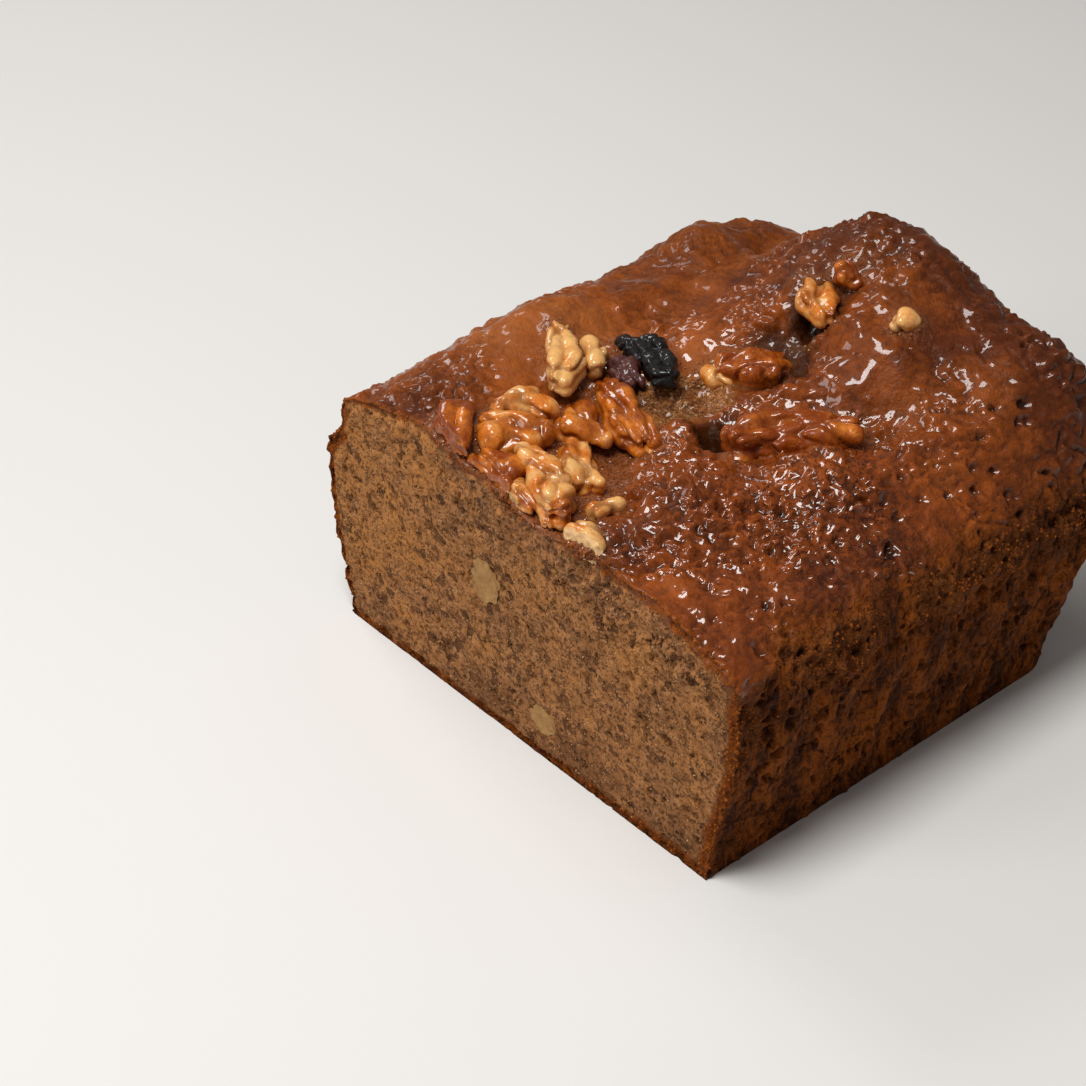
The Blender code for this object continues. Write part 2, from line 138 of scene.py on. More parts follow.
def newGroup(name, inputs, outputs):
    tree = bpy.data.node_groups.new(name, "ShaderNodeTree")
    for label, value in inputs.items():
        kind = "NodeSocketVector" if value is None else "NodeSocketFloat"
        socket = tree.interface.new_socket(name=label, in_out="INPUT", socket_type=kind)
        if value is not None:
            socket.default_value = value
    for label in outputs:
        tree.interface.new_socket(name=label, in_out="OUTPUT", socket_type="NodeSocketFloat")
    return tree, tree.nodes.new("NodeGroupInput").outputs, tree.nodes.new("NodeGroupOutput").inputs


def placeGroup(tree, group, inputs):
    made = tree.nodes.new("ShaderNodeGroup")
    made.node_tree = group
    for key, value in inputs.items():
        if isinstance(value, bpy.types.NodeSocket):
            tree.links.new(value, made.inputs[key])
        else:
            made.inputs[key].default_value = value
    return made.outputs


def mottleGroup():  # patchy colour from broad and fine clouds
    tree, given, out = newGroup(
        "mottle", {"Vector": None, "Broad": 100.0, "Fine": 600.0, "Contrast": 1.0}, ["Mask"]
    )
    broad = cloudNoise(tree, given["Vector"], given["Broad"], 3.0)
    fine = cloudNoise(tree, given["Vector"], given["Fine"], 3.0)
    both = calc(tree, "ADD", broad["Fac"], calc(tree, "MULTIPLY", fine["Fac"], 0.7))
    lean = calc(tree, "MULTIPLY", calc(tree, "SUBTRACT", both, 0.85), given["Contrast"])
    tree.links.new(calc(tree, "ADD", lean, 0.5, clamp=True), out["Mask"])
    return tree


def speckleGroup():  # scattered specks, with the share of cells that hold one
    tree, given, out = newGroup(
        "speckle", {"Vector": None, "Scale": 1000.0, "Share": 0.3, "Size": 0.4}, ["Mask"]
    )
    bent = cloudNoise(tree, given["Vector"], given["Scale"], 1.0)
    shift = addNode(tree, "ShaderNodeVectorMath", {0: bent["Color"], "Scale": 0.0006}, operation="SCALE")
    place = addNode(tree, "ShaderNodeVectorMath", {0: given["Vector"], 1: shift.outputs[0]}, operation="ADD")
    cells = addNode(tree, "ShaderNodeTexVoronoi", {"Vector": place.outputs[0], "Scale": given["Scale"]})
    pick = addNode(tree, "ShaderNodeSeparateColor", {0: cells.outputs["Color"]})
    there = calc(tree, "LESS_THAN", pick.outputs[0], given["Share"])
    reach = calc(tree, "MULTIPLY", given["Size"], 0.4)
    spot = addNode(
        tree, "ShaderNodeMapRange",
        {"Value": cells.outputs["Distance"], 1: given["Size"], 2: reach, 3: 0.0, 4: 1.0},
    )
    tree.links.new(calc(tree, "MULTIPLY", there, spot.outputs[0]), out["Mask"])
    return tree


def rippleGroup():  # the height of a wet, finely creased skin
    tree, given, out = newGroup("ripple", {"Vector": None, "Scale": 900.0, "Fine": 2500.0}, ["Height"])
    heights = []
    for socket, share in (("Scale", 1.0), ("Fine", 0.4)):
        wave = cloudNoise(tree, given["Vector"], given[socket], 2.0)
        crease = calc(tree, "ABSOLUTE", calc(tree, "SUBTRACT", wave["Fac"], 0.5))
        heights.append(calc(tree, "MULTIPLY", crease, share))
    tree.links.new(calc(tree, "ADD", *heights), out["Height"])
    return tree


def spongeGroup():  # irregular pores, where a bent cloud falls under a level
    tree, given, out = newGroup(
        "sponge", {"Vector": None, "Scale": 900.0, "Level": 0.42, "Edge": 0.06}, ["Pore", "Height"]
    )
    cloud = cloudNoise(tree, given["Vector"], given["Scale"], 2.0)
    top = calc(tree, "ADD", given["Level"], given["Edge"])
    inputs = {"Value": cloud["Fac"], 1: given["Level"], 2: top, 3: 1.0, 4: 0.0}
    pore = addNode(tree, "ShaderNodeMapRange", inputs, interpolation_type="SMOOTHSTEP").outputs[0]
    rough = calc(tree, "MULTIPLY", cloud["Fac"], 0.5)
    tree.links.new(pore, out["Pore"])
    tree.links.new(calc(tree, "SUBTRACT", rough, calc(tree, "MULTIPLY", pore, 0.6)), out["Height"])
    return tree


mottle = mottleGroup()
speckle = speckleGroup()
sponge = spongeGroup()
ripple = rippleGroup()
print("shader groups made")


def newMaterial(name, **fixed):
    made = bpy.data.materials.new(name)
    made.use_nodes = True
    tree = made.node_tree
    shader = tree.nodes["Principled BSDF"]
    for key, value in fixed.items():
        shader.inputs[key].default_value = value
    place = tree.nodes.new("ShaderNodeTexCoord").outputs["Object"]
    return made, tree, shader, place


def mask(tree, name):
    return addNode(tree, "ShaderNodeAttribute", attribute_name=name).outputs["Fac"]


def bump(tree, height, distance, strength):
    inputs = {"Height": height, "Distance": distance, "Strength": strength}
    return addNode(tree, "ShaderNodeBump", inputs).outputs["Normal"]


# Loaf

loafForm = dict(
    place=(0.00204, -0.0580),  # middle of the cut in the frame
    baseLeft=-0.0570, baseRight=0.0515, baseLength=0.1015,
    rimHeight=0.0485, rimTilt=-0.035, rimLength=0.1160, rimLeft=-0.0575, rimRight=0.0573,
    baseCorner=0.0100, rimCorner=0.0170,
    leftSwell=0.0048, leftSwellReach=0.030, shoulder=0.0062, shoulderFrom=0.037, shoulderReach=0.011,
    lip=0.0014, lipSpread=0.0025, rightLean=0.0056, rightLeanReach=0.036,
    ledge=0.0012, ledgeReach=0.030, ledgeHeight=0.0415, ledgeSpread=0.0030,
    farLean=0.0055, farLeanReach=0.014, farSpreadFrom=0.018, farSpreadReach=0.030,
    crown=0.0095, crownSide=0.0240, crownEnd=0.0185,
    lumpSize=0.0100, lumpRise=0.0011, cragSize=0.0048, cragRise=0.0006, cragShift=(7.0, 2.0, 5.0),
    pleatPitch=0.0130, pleatDepth=0.0007, pleatFoot=0.008, pleatHead=0.012, pleatShift=0.004,
    pleatWander=0.35, pleatNoise=(90.0, 40.0, 3.0), crumbRelief=0.00030, crumbGrain=0.004,
    cells=(320, 270, 120),  # skin faces across, along and up, before it is thinned
    closerRows=0.4, faces=190000, nearEdge=0.0001,
)

# Lumps of the baked top: x, y, rise, spread across, spread along
topLumps = [
    (0.0036, 0.0962, 0.0242, 0.0288, 0.0314),
    (0.0442, 0.0986, 0.0120, 0.0150, 0.0200),
    (-0.0452, 0.0875, 0.0070, 0.0112, 0.0084),
    (-0.0340, 0.0970, -0.0060, 0.0065, 0.0100),
    (0.0210, 0.0210, 0.0050, 0.0100, 0.0130),
    (0.0290, 0.0460, 0.0050, 0.0085, 0.0085),
    (0.0020, 0.0380, 0.0050, 0.0055, 0.0052),
    (0.0400, 0.0600, 0.0045, 0.0110, 0.0200),
    (-0.0290, 0.0040, 0.0028, 0.0080, 0.0120),
    (-0.0460, 0.0427, 0.0068, 0.0134, 0.0245),
    (0.0200, 0.0740, 0.0035, 0.0090, 0.0090),
]

# Branches of the crack in the top: x, y, depth, half width
cracks = [
    [
        (0.004, -0.002, 0.0030, 0.0070), (0.003, 0.012, 0.0036, 0.0090),
        (-0.006, 0.026, 0.0045, 0.0100), (-0.007, 0.042, 0.0040, 0.0080),
        (-0.004, 0.058, 0.0050, 0.0070), (0.001, 0.067, 0.0060, 0.0060),
        (0.002, 0.078, 0.0060, 0.0055), (0.005, 0.090, 0.0030, 0.0050),
    ],
    [
        (0.005, 0.044, 0.0055, 0.0050), (0.015, 0.051, 0.0050, 0.0065),
        (0.027, 0.062, 0.0045, 0.0060), (0.031, 0.072, 0.0020, 0.0050),
    ],
    [
        (-0.018, 0.008, 0.0015, 0.0090), (-0.014, 0.028, 0.0030, 0.0090),
        (-0.012, 0.040, 0.0030, 0.0090),
    ],
]

# Deep pits where the crack tore open: x, y, depth, radius
pits = [
    (0.0062, 0.0440, 0.0050, 0.0036),
    (0.0010, 0.0645, 0.0040, 0.0045),
    (0.0010, 0.0760, 0.0040, 0.0035),
]

# Patches that baked lighter (above 0) or darker: x, y, spread, amount
bakedPatches = [
    (-0.040, 0.040, 0.022, 0.35),
    (0.040, 0.068, 0.013, 0.25),
    (0.036, 0.036, 0.014, 0.20),
    (0.020, 0.018, 0.012, -0.10),
    (0.005, 0.105, 0.030, -0.62),
    (0.048, 0.100, 0.024, -0.50),
    (0.055, 0.040, 0.018, -0.50),
    (-0.038, 0.009, 0.013, -0.60),
    (-0.030, 0.000, 0.012, -0.20),
]


def pleats(y, z):
    form = loafForm
    fall = smooth(z / form["pleatFoot"]) * smooth((form["rimHeight"] - z) / form["pleatHead"])
    across, up, level = form["pleatNoise"]
    wander = form["pleatWander"] * formNoise(stack(y * across, z * up, level))
    return form["pleatDepth"] * fall * np.sin(2.0 * math.pi * (y / form["pleatPitch"] + wander))


def leftWall(y, z):
    form = loafForm
    swell = form["leftSwell"] * smooth(z / form["leftSwellReach"])
    shoulder = form["shoulder"] * smooth((z - form["shoulderFrom"]) / form["shoulderReach"])
    lip = form["lip"] * bell(z - form["rimHeight"], form["lipSpread"])
    return form["baseLeft"] - swell + shoulder - lip - pleats(y, z)


def rightWall(y, z):
    form = loafForm
    lean = form["rightLean"] * smooth(z / form["rightLeanReach"])
    ledge = form["ledge"] * smooth(y / form["ledgeReach"])
    ledge = ledge * bell(z - form["ledgeHeight"], form["ledgeSpread"])
    return form["baseRight"] + lean + ledge + pleats(y + form["pleatShift"], z)


def farWall(z):
    form = loafForm
    lean = form["farLean"] * smooth(z / form["farLeanReach"])
    spread = form["rimLength"] - form["baseLength"] - form["farLean"]
    return form["baseLength"] + lean + spread * smooth((z - form["farSpreadFrom"]) / form["farSpreadReach"])


def roundedCorner(x, y, left, right, far, radius):
    side = np.where(x > 0.0, 1.0, -1.0)
    p = 1.0 - np.abs(np.where(x > 0.0, right, left) - x) / radius
    q = 1.0 - (far - y) / radius
    inside = (p > 0.0) & (q > 0.0)
    p, q = np.where(inside, p, 0.0), np.where(inside, q, 0.0)
    x = x + side * radius * (p * np.sqrt(1.0 - 0.5 * q * q) - p)
    return x, y + radius * (q * np.sqrt(1.0 - 0.5 * p * p) - q)


def crackAt(x, y):  # how deep the crack is, and how near its line, from 0 to 1
    deepest, nearest = np.zeros(len(x)), np.zeros(len(x))
    for branch in cracks:
        for near, far in zip(branch, branch[1:]):
            runX, runY = far[0] - near[0], far[1] - near[1]
            t = ((x - near[0]) * runX + (y - near[1]) * runY) / (runX ** 2 + runY ** 2)
            t = np.clip(t, 0.0, 1.0)
            middleX, middleY, depth, half = (a + (b - a) * t for a, b in zip(near, far))
            closeness = bell(np.hypot(x - middleX, y - middleY), half)
            deepest = np.maximum(deepest, depth * closeness)
            nearest = np.maximum(nearest, closeness)
    return deepest, nearest


def rimHeight(x):
    return loafForm["rimHeight"] + loafForm["rimTilt"] * x


def topHeight(x, y):
    form = loafForm
    inward = np.minimum(x - form["rimLeft"], form["rimRight"] - x)
    side = np.clip(1.0 - inward / form["crownSide"], 0.0, None)
    end = np.clip(1.0 - (form["rimLength"] - y) / form["crownEnd"], 0.0, None)
    rise = np.sqrt(np.clip(1.0 - (side ** 3 + end ** 3) ** (2.0 / 3.0), 0.0, None))
    height = form["crown"] - crackAt(x, y)[0]
    for middleX, middleY, lump, across, along in topLumps:
        height = height + lump * bell(x - middleX, across) * bell(y - middleY, along)
    for middleX, middleY, depth, radius in pits:
        height = height - depth * bell(np.hypot(x - middleX, y - middleY), radius)
    place = stack(x, y, 0.0)
    height = height + form["lumpRise"] * formNoise(place / form["lumpSize"])
    height = height + form["cragRise"] * formNoise(place / form["cragSize"] + np.array(form["cragShift"]))
    return rimHeight(x) + height * rise


def blockSkin(cells):  # corners, from 0 to 1, and outward faces of a block's skin
    shape = [n + 1 for n in cells]
    steps = np.indices(shape, dtype=np.int32).reshape(3, -1)
    last = np.array(cells)[:, None]
    outer = np.any((steps == 0) | (steps == last), axis=0)
    index = np.full(shape, -1)
    index.reshape(-1)[outer] = np.arange(outer.sum())
    faces = []
    for axis in range(3):
        for end in (0, -1):
            side = np.take(index, end, axis=axis)
            quads = np.stack([side[:-1, :-1], side[1:, :-1], side[1:, 1:], side[:-1, 1:]], axis=-1)
            flip = (end == 0) != (axis == 1)
            faces.append(quads.reshape(-1, 4)[:, ::-1] if flip else quads.reshape(-1, 4))
    return (steps[:, outer] / last).T, np.concatenate(faces)


def loafSkin(corners):  # the plain loaf without its fine relief
    form = loafForm
    even = corners[:, 0] * 2.0 - 1.0
    closer = form["closerRows"]  # rows lie closer where the top falls to the rim
    u = (1.0 - closer) * even + closer * np.sin(even * math.pi / 2.0)
    v, w = corners[:, 1], corners[:, 2]

    def ring(up):
        z = up * rimHeight(u * form["baseRight"])
        left, right = leftWall(v * form["baseLength"], z), rightWall(v * form["baseLength"], z)
        far = farWall(z)
        corner = form["baseCorner"] + (form["rimCorner"] - form["baseCorner"]) * up
        x = left + (right - left) * (u + 1.0) / 2.0
        return roundedCorner(x, v * far, left, right, far, corner)

    x, y = ring(w)
    topX, topY = ring(np.ones(len(w)))
    height = topHeight(topX, topY)
    z = w * height
    inner = 1.0 - form["nearEdge"]
    onCut = (v == 0.0) & (np.abs(u) < inner) & (w > form["nearEdge"]) & (w < inner)
    relief = form["crumbRelief"] * (1.0 + formNoise(stack(x, z, 0.0) / form["crumbGrain"]))
    y = np.where(onCut, relief, y)
    return stack(x, y, z), height


def meshNormals(mesh):
    normals = np.empty(len(mesh.vertices) * 3, np.float32)
    mesh.vertex_normals.foreach_get("vector", normals)
    return normals.reshape(-1, 3).astype(float)


def setPoints(mesh, points):
    mesh.vertices.foreach_set("co", points.astype(np.float32).ravel())
    mesh.update()


def getPoints(mesh):
    points = np.empty(len(mesh.vertices) * 3, np.float32)
    mesh.vertices.foreach_get("co", points)
    return points.reshape(-1, 3).astype(float)


def setMask(mesh, name, values):
    made = mesh.attributes.new(name, "FLOAT", "POINT")
    made.data.foreach_set("value", np.clip(values, 0.0, 1.0).astype(np.float32))


def addObject(name, mesh):
    obj = bpy.data.objects.new(name, mesh)
    bpy.context.scene.collection.objects.link(obj)
    return obj


def applyModifiers(obj):
    made = bpy.data.meshes.new_from_object(obj.evaluated_get(bpy.context.evaluated_depsgraph_get()))
    obj.modifiers.clear()
    old, obj.data = obj.data, made
    name = old.name
    bpy.data.meshes.remove(old)
    made.name = name


# Toppings, in millimetres and degrees, in the frame of the cut. toast is how dark a piece baked,
# broken is its pale broken end (heading of the break and how far out it lies, from 0 to 1), sliced is
# how pale its knife cut is, and swell, in metres, is how far it puffs up where that isn't the rule's.
toppings = {
    "walnut_front_quarter": dict(
        at=(-2.0, 7.0), length=22.5, width=8.0, heading=-25, bend=-1.3, knobs=5, rows=2, lift=4.8,
        toast=0.38, broken=(-60, 0.80),
    ),
    "walnut_under_quarter": dict(
        at=(-3.5, 2.5), length=11.0, width=6.0, heading=-18, bend=1.5, knobs=3, rows=1, lift=1.6,
        toast=0.10, sliced=0.6,
    ),
    "walnut_left_lobe": dict(
        at=(-18.5, 12.5), length=15.0, width=12.0, heading=24, bend=1.5, knobs=3, rows=2, lift=3.0,
        toast=0.62,
    ),
    "walnut_back_crescent": dict(
        at=(-23.5, 20.5), length=13.0, width=7.5, heading=45, bend=-3.0, knobs=4, rows=1, lift=2.8,
        toast=0.42,
    ),
    "walnut_middle_lobe": dict(
        at=(-4.5, 18.5), length=17.0, width=7.5, heading=-34, bend=1.5, knobs=4, rows=2, lift=3.2,
        toast=0.45,
    ),
    "walnut_cupped_piece": dict(
        at=(-13.5, 27.0), length=12.5, width=8.0, heading=-18, bend=2.5, knobs=3, rows=2, lift=2.4,
        toast=0.60,
    ),
    "walnut_arched_piece": dict(
        at=(-9.5, 34.5), length=24.0, width=7.5, heading=-22, bend=1.2, knobs=5, rows=2, lift=4.0,
        toast=0.85,
    ),
    "walnut_pale_knot": dict(
        at=(-28.5, 34.5), length=21.0, width=7.5, heading=-40, bend=-1.0, knobs=4, rows=2, lift=4.0,
        toast=0.02,
    ),
    "walnut_pale_crumb": dict(
        at=(-26.0, 41.0), length=13.5, width=6.0, heading=-30, bend=-1.0, knobs=3, rows=1, lift=2.4,
        toast=0.0,
    ),
    "walnut_toasted_knot": dict(
        at=(-25.0, 4.5), length=17.5, width=7.5, heading=-44, bend=1.5, knobs=5, rows=2, lift=1.8,
        toast=1.00,
    ),
    "walnut_sunk_piece": dict(
        at=(-11.5, 3.5), length=13.0, width=8.5, heading=-20, bend=-3.0, knobs=3, rows=2, lift=1.0,
        toast=0.90,
    ),
    "walnut_cut_wedge": dict(
        at=(15.0, 2.0), length=10.5, width=7.0, heading=-17, bend=-1.0, knobs=3, rows=1, lift=1.2,
        toast=0.0, sliced=1.0, swell=0.0011,
    ),
    "walnut_small_tip": dict(
        at=(10.5, 11.5), length=7.5, width=5.0, heading=80, bend=0.0, knobs=2, rows=1, lift=2.2,
        toast=0.10, swell=0.0006,
    ),
    "fruit_black": dict(
        at=(-18.5, 49.5), length=18.0, width=8.0, heading=-16, bend=-1.5, knobs=5, rows=2, lift=1.9,
        toast=0.0,
    ),
    "fruit_maroon": dict(
        at=(-20.5, 43.5), length=12.0, width=7.0, heading=-12, bend=0.0, knobs=3, rows=2, lift=1.6,
        toast=1.0,
    ),
    "walnut_rear_crescent": dict(
        at=(-2.0, 63.5), length=16.5, width=8.5, heading=55, bend=2.5, knobs=4, rows=2, lift=3.8,
        toast=1.05,
    ),
    "walnut_rear_hook": dict(
        at=(-1.0, 78.5), length=19.0, width=7.5, heading=-39, bend=1.5, knobs=4, rows=2, lift=3.2,
        toast=0.45,
    ),
    "walnut_long_half": dict(
        at=(18.5, 52.5), length=26.0, width=11.0, heading=53, bend=-2.0, knobs=6, rows=2, lift=5.0,
        toast=1.10,
    ),
    "walnut_sunk_chip": dict(
        at=(-7.0, 56.5), length=9.5, width=5.5, heading=0, bend=0.0, knobs=3, rows=1, lift=0.8,
        toast=0.10,
    ),
    "walnut_far_chip": dict(
        at=(19.5, 81.0), length=7.0, width=5.0, heading=69, bend=-1.5, knobs=3, rows=1, lift=0.9,
        toast=0.20,
    ),
    "walnut_far_lobe": dict(
        at=(1.0, 84.0), length=8.0, width=6.0, heading=-20, bend=1.5, knobs=3, rows=1, lift=1.4,
        toast=1.00,
    ),
}

# How the knobs of every topping are set out, as shares of its width or reach, as in the CAD solids
knobRule = dict(
    rowRadius=0.29, rowOffset=0.23, loneRadius=0.45, taper=0.55, stagger=0.15, endInset=0.7,
    chance=0.06, under=0.0016, collarSpread=0.0014, between=5, waist=0.05,
)

# How the knobs melt together and bake. A noise is its amount, its size and its step from the piece's
# own seed, and lengths are in metres.
bakeRule = dict(
    voxel=0.00026, melt=24, swell=0.00025, broad=(0.00070, 0.0060, 2), crease=0.00085, creaseSize=0.0055,
    creaseStretch=(1.3, 0.9, 1.0), creaseEdge=0.16, wrinkle=(0.00007, 0.0011, 9), fruitWrinkle=3.5,
    firstSeed=100, breakSlope=0.15, breakFade=0.0008, breakPale=0.8, breakFlat=0.9,
    knife=0.0005, knifeRough=(0.0009, 0.0024, 6), knifeFade=0.0002,
    toastShift=0.05, toastBroad=(0.62, 0.0056, 4), toastFine=(0.15, 0.0017, 5),
)


def knobsOf(name, spec):  # middle, radius, row and level of every knob, in the frame of the cut
    chance = random.Random(name)
    atX, atY, length, width, bend, lift = (
        0.001 * a for a in (*spec["at"], spec["length"], spec["width"], spec["bend"], spec["lift"])
    )
    turned = Matrix.Rotation(math.radians(spec["heading"]), 3, "Z")
    ground = Vector((atX, atY, float(topHeight(np.array([atX]), np.array([atY]))[0])))
    twoRows = spec["rows"] == 2
    radius = width * (knobRule["rowRadius"] if twoRows else knobRule["loneRadius"])
    reach = length / 2.0 - knobRule["endInset"] * radius
    for number in range(spec["knobs"]):
        along = 2.0 * number / (spec["knobs"] - 1) - 1.0
        taper = math.sqrt(1.0 - knobRule["taper"] * along ** 2)
        for side in (-1, 1) if twoRows else (0,):
            stray = [knobRule["chance"] * width * chance.uniform(-1.0, 1.0) for _ in range(4)]
            middle = Vector((
                along * reach + side * knobRule["stagger"] * reach / spec["knobs"] + stray[0],
                side * knobRule["rowOffset"] * width * taper + bend * (along ** 2 - 0.5) + stray[1],
                lift + stray[2],
            ))
            ball = radius * taper + stray[3]
            row = 0 if side < 1 else 1
            yield ground + turned @ middle, ball, row, 0
            if middle.z > knobRule["under"]:
                middle.z = knobRule["under"]
                yield ground + turned @ middle, ball, row, 1


allKnobs = {name: list(knobsOf(name, spec)) for name, spec in toppings.items()}


def stickyCollar(points):  # how far the batter climbs round the toppings, from 0 to 1
    nearest = np.ones(len(points))
    for knobs in allKnobs.values():
        for middle, radius, _, _ in knobs:
            away = np.linalg.norm(points - np.array(middle), axis=1) - radius
            nearest = np.minimum(nearest, away)
    return bell(np.clip(nearest, 0.0, None), knobRule["collarSpread"])


# The loaf's masks and fine relief, in metres. A noise is its amount, size and seed, bubbles are their
# size, share and seed, and a spot of the top is its x, y, spread and amount.

def noiseOf(points, rule):
    amount, size, seed = rule
    return amount * waves(points, size, seed)


def shiftOf(points, rule):  # a different move along each axis
    amount, size, seed = rule
    return amount * stack(*(waves(points, size, seed + 3 * k) for k in range(3)))


def spotOf(skin, rule):
    middleX, middleY, spread, amount = rule
    return amount * bell(np.hypot(skin.x - middleX, skin.y - middleY), spread)


edgeRule = dict(
    height=0.0485, rise=0.0020, riseReach=0.040, drop=0.0060, dropSpread=0.009, dropReach=0.030,
    broad=(0.0012, 0.009, 11), fine=(0.0018, 0.0035, 17), fray=(0.0030, 0.0014, 18), width=0.0070,
)


def glossOf(skin):  # how glossy the crust is, and the height where its gloss ends
    rule = edgeRule
    edge = rule["height"] + rule["rise"] * smooth(skin.x / rule["riseReach"])
    edge = edge - rule["drop"] * bell(skin.y, rule["dropSpread"]) * smooth(skin.x / rule["dropReach"])
    edge = edge + noiseOf(skin.points, rule["broad"])
    edge = edge + noiseOf(skin.points, rule["fine"])
    above = skin.z - edge + noiseOf(skin.points, rule["fray"])
    return smooth(above / rule["width"] + 0.5), edge


crackRule = dict(
    broad=(0.25, 0.006, 12), fine=(0.16, 0.0022, 10), start=0.42, fade=0.25,
    closed=0.9, closedX=0.019, closedXFade=0.006, closedY=0.072, closedYFade=0.008,
    pitSpread=1.8, tornFrom=0.036, tornFade=0.006, tornWave=(0.004, 0.008, 13),
)


def crackMasks(skin):  # the open crack, the part of it that is torn crumb, and the deep pits, whose mask also places their painted shade
    rule, x, y = crackRule, skin.x, skin.y
    ragged = noiseOf(skin.points, rule["broad"]) + noiseOf(skin.points, rule["fine"])
    opened = smooth((crackAt(x, y)[1] + ragged - rule["start"]) / rule["fade"]) * skin.top
    right = smooth((x - rule["closedX"]) / rule["closedXFade"])
    far = smooth((y - rule["closedY"]) / rule["closedYFade"])
    opened = opened * (1.0 - rule["closed"] * right) * (1.0 - rule["closed"] * far)
    deepPit = np.zeros(len(x))
    for middleX, middleY, _, radius in pits:
        shade = bell(np.hypot(x - middleX, y - middleY), rule["pitSpread"] * radius)
        deepPit = np.maximum(deepPit, shade * skin.top)
    opened = opened * (1.0 - rule["closed"] * deepPit)
    past = y - rule["tornFrom"] + noiseOf(skin.points, rule["tornWave"])
    return opened, opened * smooth(past / rule["tornFade"]), deepPit


ledgeRule = dict(
    upperFade=0.0015, lowerFade=0.006, tall=0.016, hang=(0.006, 0.010, 14),
    share=0.5, patches=(1.6, 0.012, 15), right=0.4, rightReach=0.02,
)


def ledgeUnder(skin, edge):  # the patchy, crumbly band under the gloss
    rule = ledgeRule
    above = skin.z - edge + rule["tall"] + noiseOf(skin.points, rule["hang"])
    ledge = smooth((edge - skin.z) / rule["upperFade"]) * smooth(above / rule["lowerFade"])
    patches = rule["share"] + noiseOf(skin.points, rule["patches"])
    return ledge * ~skin.cut * smooth(patches + rule["right"] * smooth(skin.x / rule["rightReach"]))


cutRule = dict(
    topSlope=0.9, valley=0.0012, band=0.0013, bandShare=0.8, bandWave=(0.5, 0.005, 16),
    bandRight=0.0012, bandReach=0.05, fade=0.0007,
)


def cutFace(skin):  # the crumb inside the crust on the knife cut, and how far in each point lies
    rule, x, y, z = cutRule, skin.x, skin.y, skin.z
    inset = np.minimum(np.minimum(x - leftWall(y, z), rightWall(y, z) - x), z)
    valley = crackAt(x, np.zeros(len(x)))[1]
    inset = np.minimum(inset, (skin.height - z) * rule["topSlope"] + rule["valley"] * valley)
    band = rule["band"] * (rule["bandShare"] + noiseOf(skin.points, rule["bandWave"]))
    band = band + rule["bandRight"] * smooth(x / rule["bandReach"])
    return skin.cut * smooth((inset - band) / rule["fade"]), inset


grainyRule = dict(
    spots=((0.042, 0.036, 0.020, 1.0), (0.030, 0.048, 0.010, 0.9)), wave=(0.9, 0.007, 36),
)


def grainyPatch(skin, gloss, opened):  # where the glossy crust is open and grainy
    spots = sum(spotOf(skin, spot) for spot in grainyRule["spots"])
    spots = spots * (1.0 + noiseOf(skin.points, grainyRule["wave"]))
    return np.clip(spots, 0.0, 1.0) * gloss * (1.0 - opened)


creaseRule = dict(
    flank=0.45, plain=0.70, mound=(0.024, 0.018, 0.022, 0.45), left=(-0.038, 0.011, 0.014, 1.3),
    share=0.85, patches=(0.8, 0.013, 35), least=0.30, most=1.4,
    depth=0.0024, size=0.0027, stretch=(1.5, 0.9, 1.2), seed=30,
    fineDepth=0.0010, fineSize=0.0013, fineSeed=31, grainyMore=0.5, level=0.25,
    shade=3.2, fineShade=0.4,
)


def creases(skin, gloss, opened, flank, grainy):  # their rise, and the painted shade in their creases, scaled by how strong they are
    rule = creaseRule
    strength = gloss * (1.0 - rule["flank"] * flank) * (rule["plain"] + spotOf(skin, rule["mound"]))
    strength = strength * (1.0 - opened) * ~skin.base
    patches = rule["share"] + noiseOf(skin.points, rule["patches"])
    strength = strength * np.clip(patches, rule["least"], rule["most"])
    strength = strength * (1.0 + spotOf(skin, rule["left"]))
    broad = np.abs(waves(skin.turned, rule["size"] * np.array(rule["stretch"]), rule["seed"]))
    fine = np.abs(waves(skin.bent, rule["fineSize"], rule["fineSeed"])) * (1.0 + rule["grainyMore"] * grainy)
    rise = rule["depth"] * (broad - rule["level"]) + rule["fineDepth"] * (fine - rule["level"])
    # Painted shade, darkest along the creases, where the noise is near 0
    shade = np.clip(1.0 - rule["shade"] * (broad + rule["fineShade"] * fine), 0.0, 1.0)
    return strength * rise, shade * strength


holeRule = dict(
    shoulderFrom=0.028, shoulderFade=0.012, pitted=(0.040, 0.034, 0.026, 1.0), plain=0.20, more=0.80,
    cutGap=0.003, cutFade=0.006, large=(0.0036, 0.42, 40), largeGain=1.5, largeStart=0.2,
    small=((0.0016, 0.0016, 0.0023), 0.24, 41), smallGain=1.6, smallStart=0.1, smallShare=0.8,
    onGloss=0.15, onSide=0.85, uneven=(0.8, 0.0016, 42), share=0.75, depth=0.0015,
)


def crustHoles(skin, gloss, flank):  # small holes of the crust and the side
    rule = holeRule
    shoulder = smooth((skin.x - rule["shoulderFrom"]) / rule["shoulderFade"])
    often = np.maximum(np.maximum(shoulder, spotOf(skin, rule["pitted"])), 1.0 - gloss)
    often = rule["plain"] + rule["more"] * often
    often = often * smooth((skin.y - rule["cutGap"]) / rule["cutFade"])
    large = hollows(skin.turned, *rule["large"]) * often * (1.0 - flank)
    small = hollows(skin.bent, *rule["small"]) * (rule["onGloss"] + rule["onSide"] * (1.0 - gloss))
    large = smooth(large * rule["largeGain"] - rule["largeStart"])
    small = smooth(small * rule["smallGain"] - rule["smallStart"]) * rule["smallShare"]
    holes = np.clip(large + small, 0.0, 1.0) * ~skin.cut * ~skin.base
    return holes * (rule["share"] + noiseOf(skin.bent, rule["uneven"])).clip(0.0, 1.0)


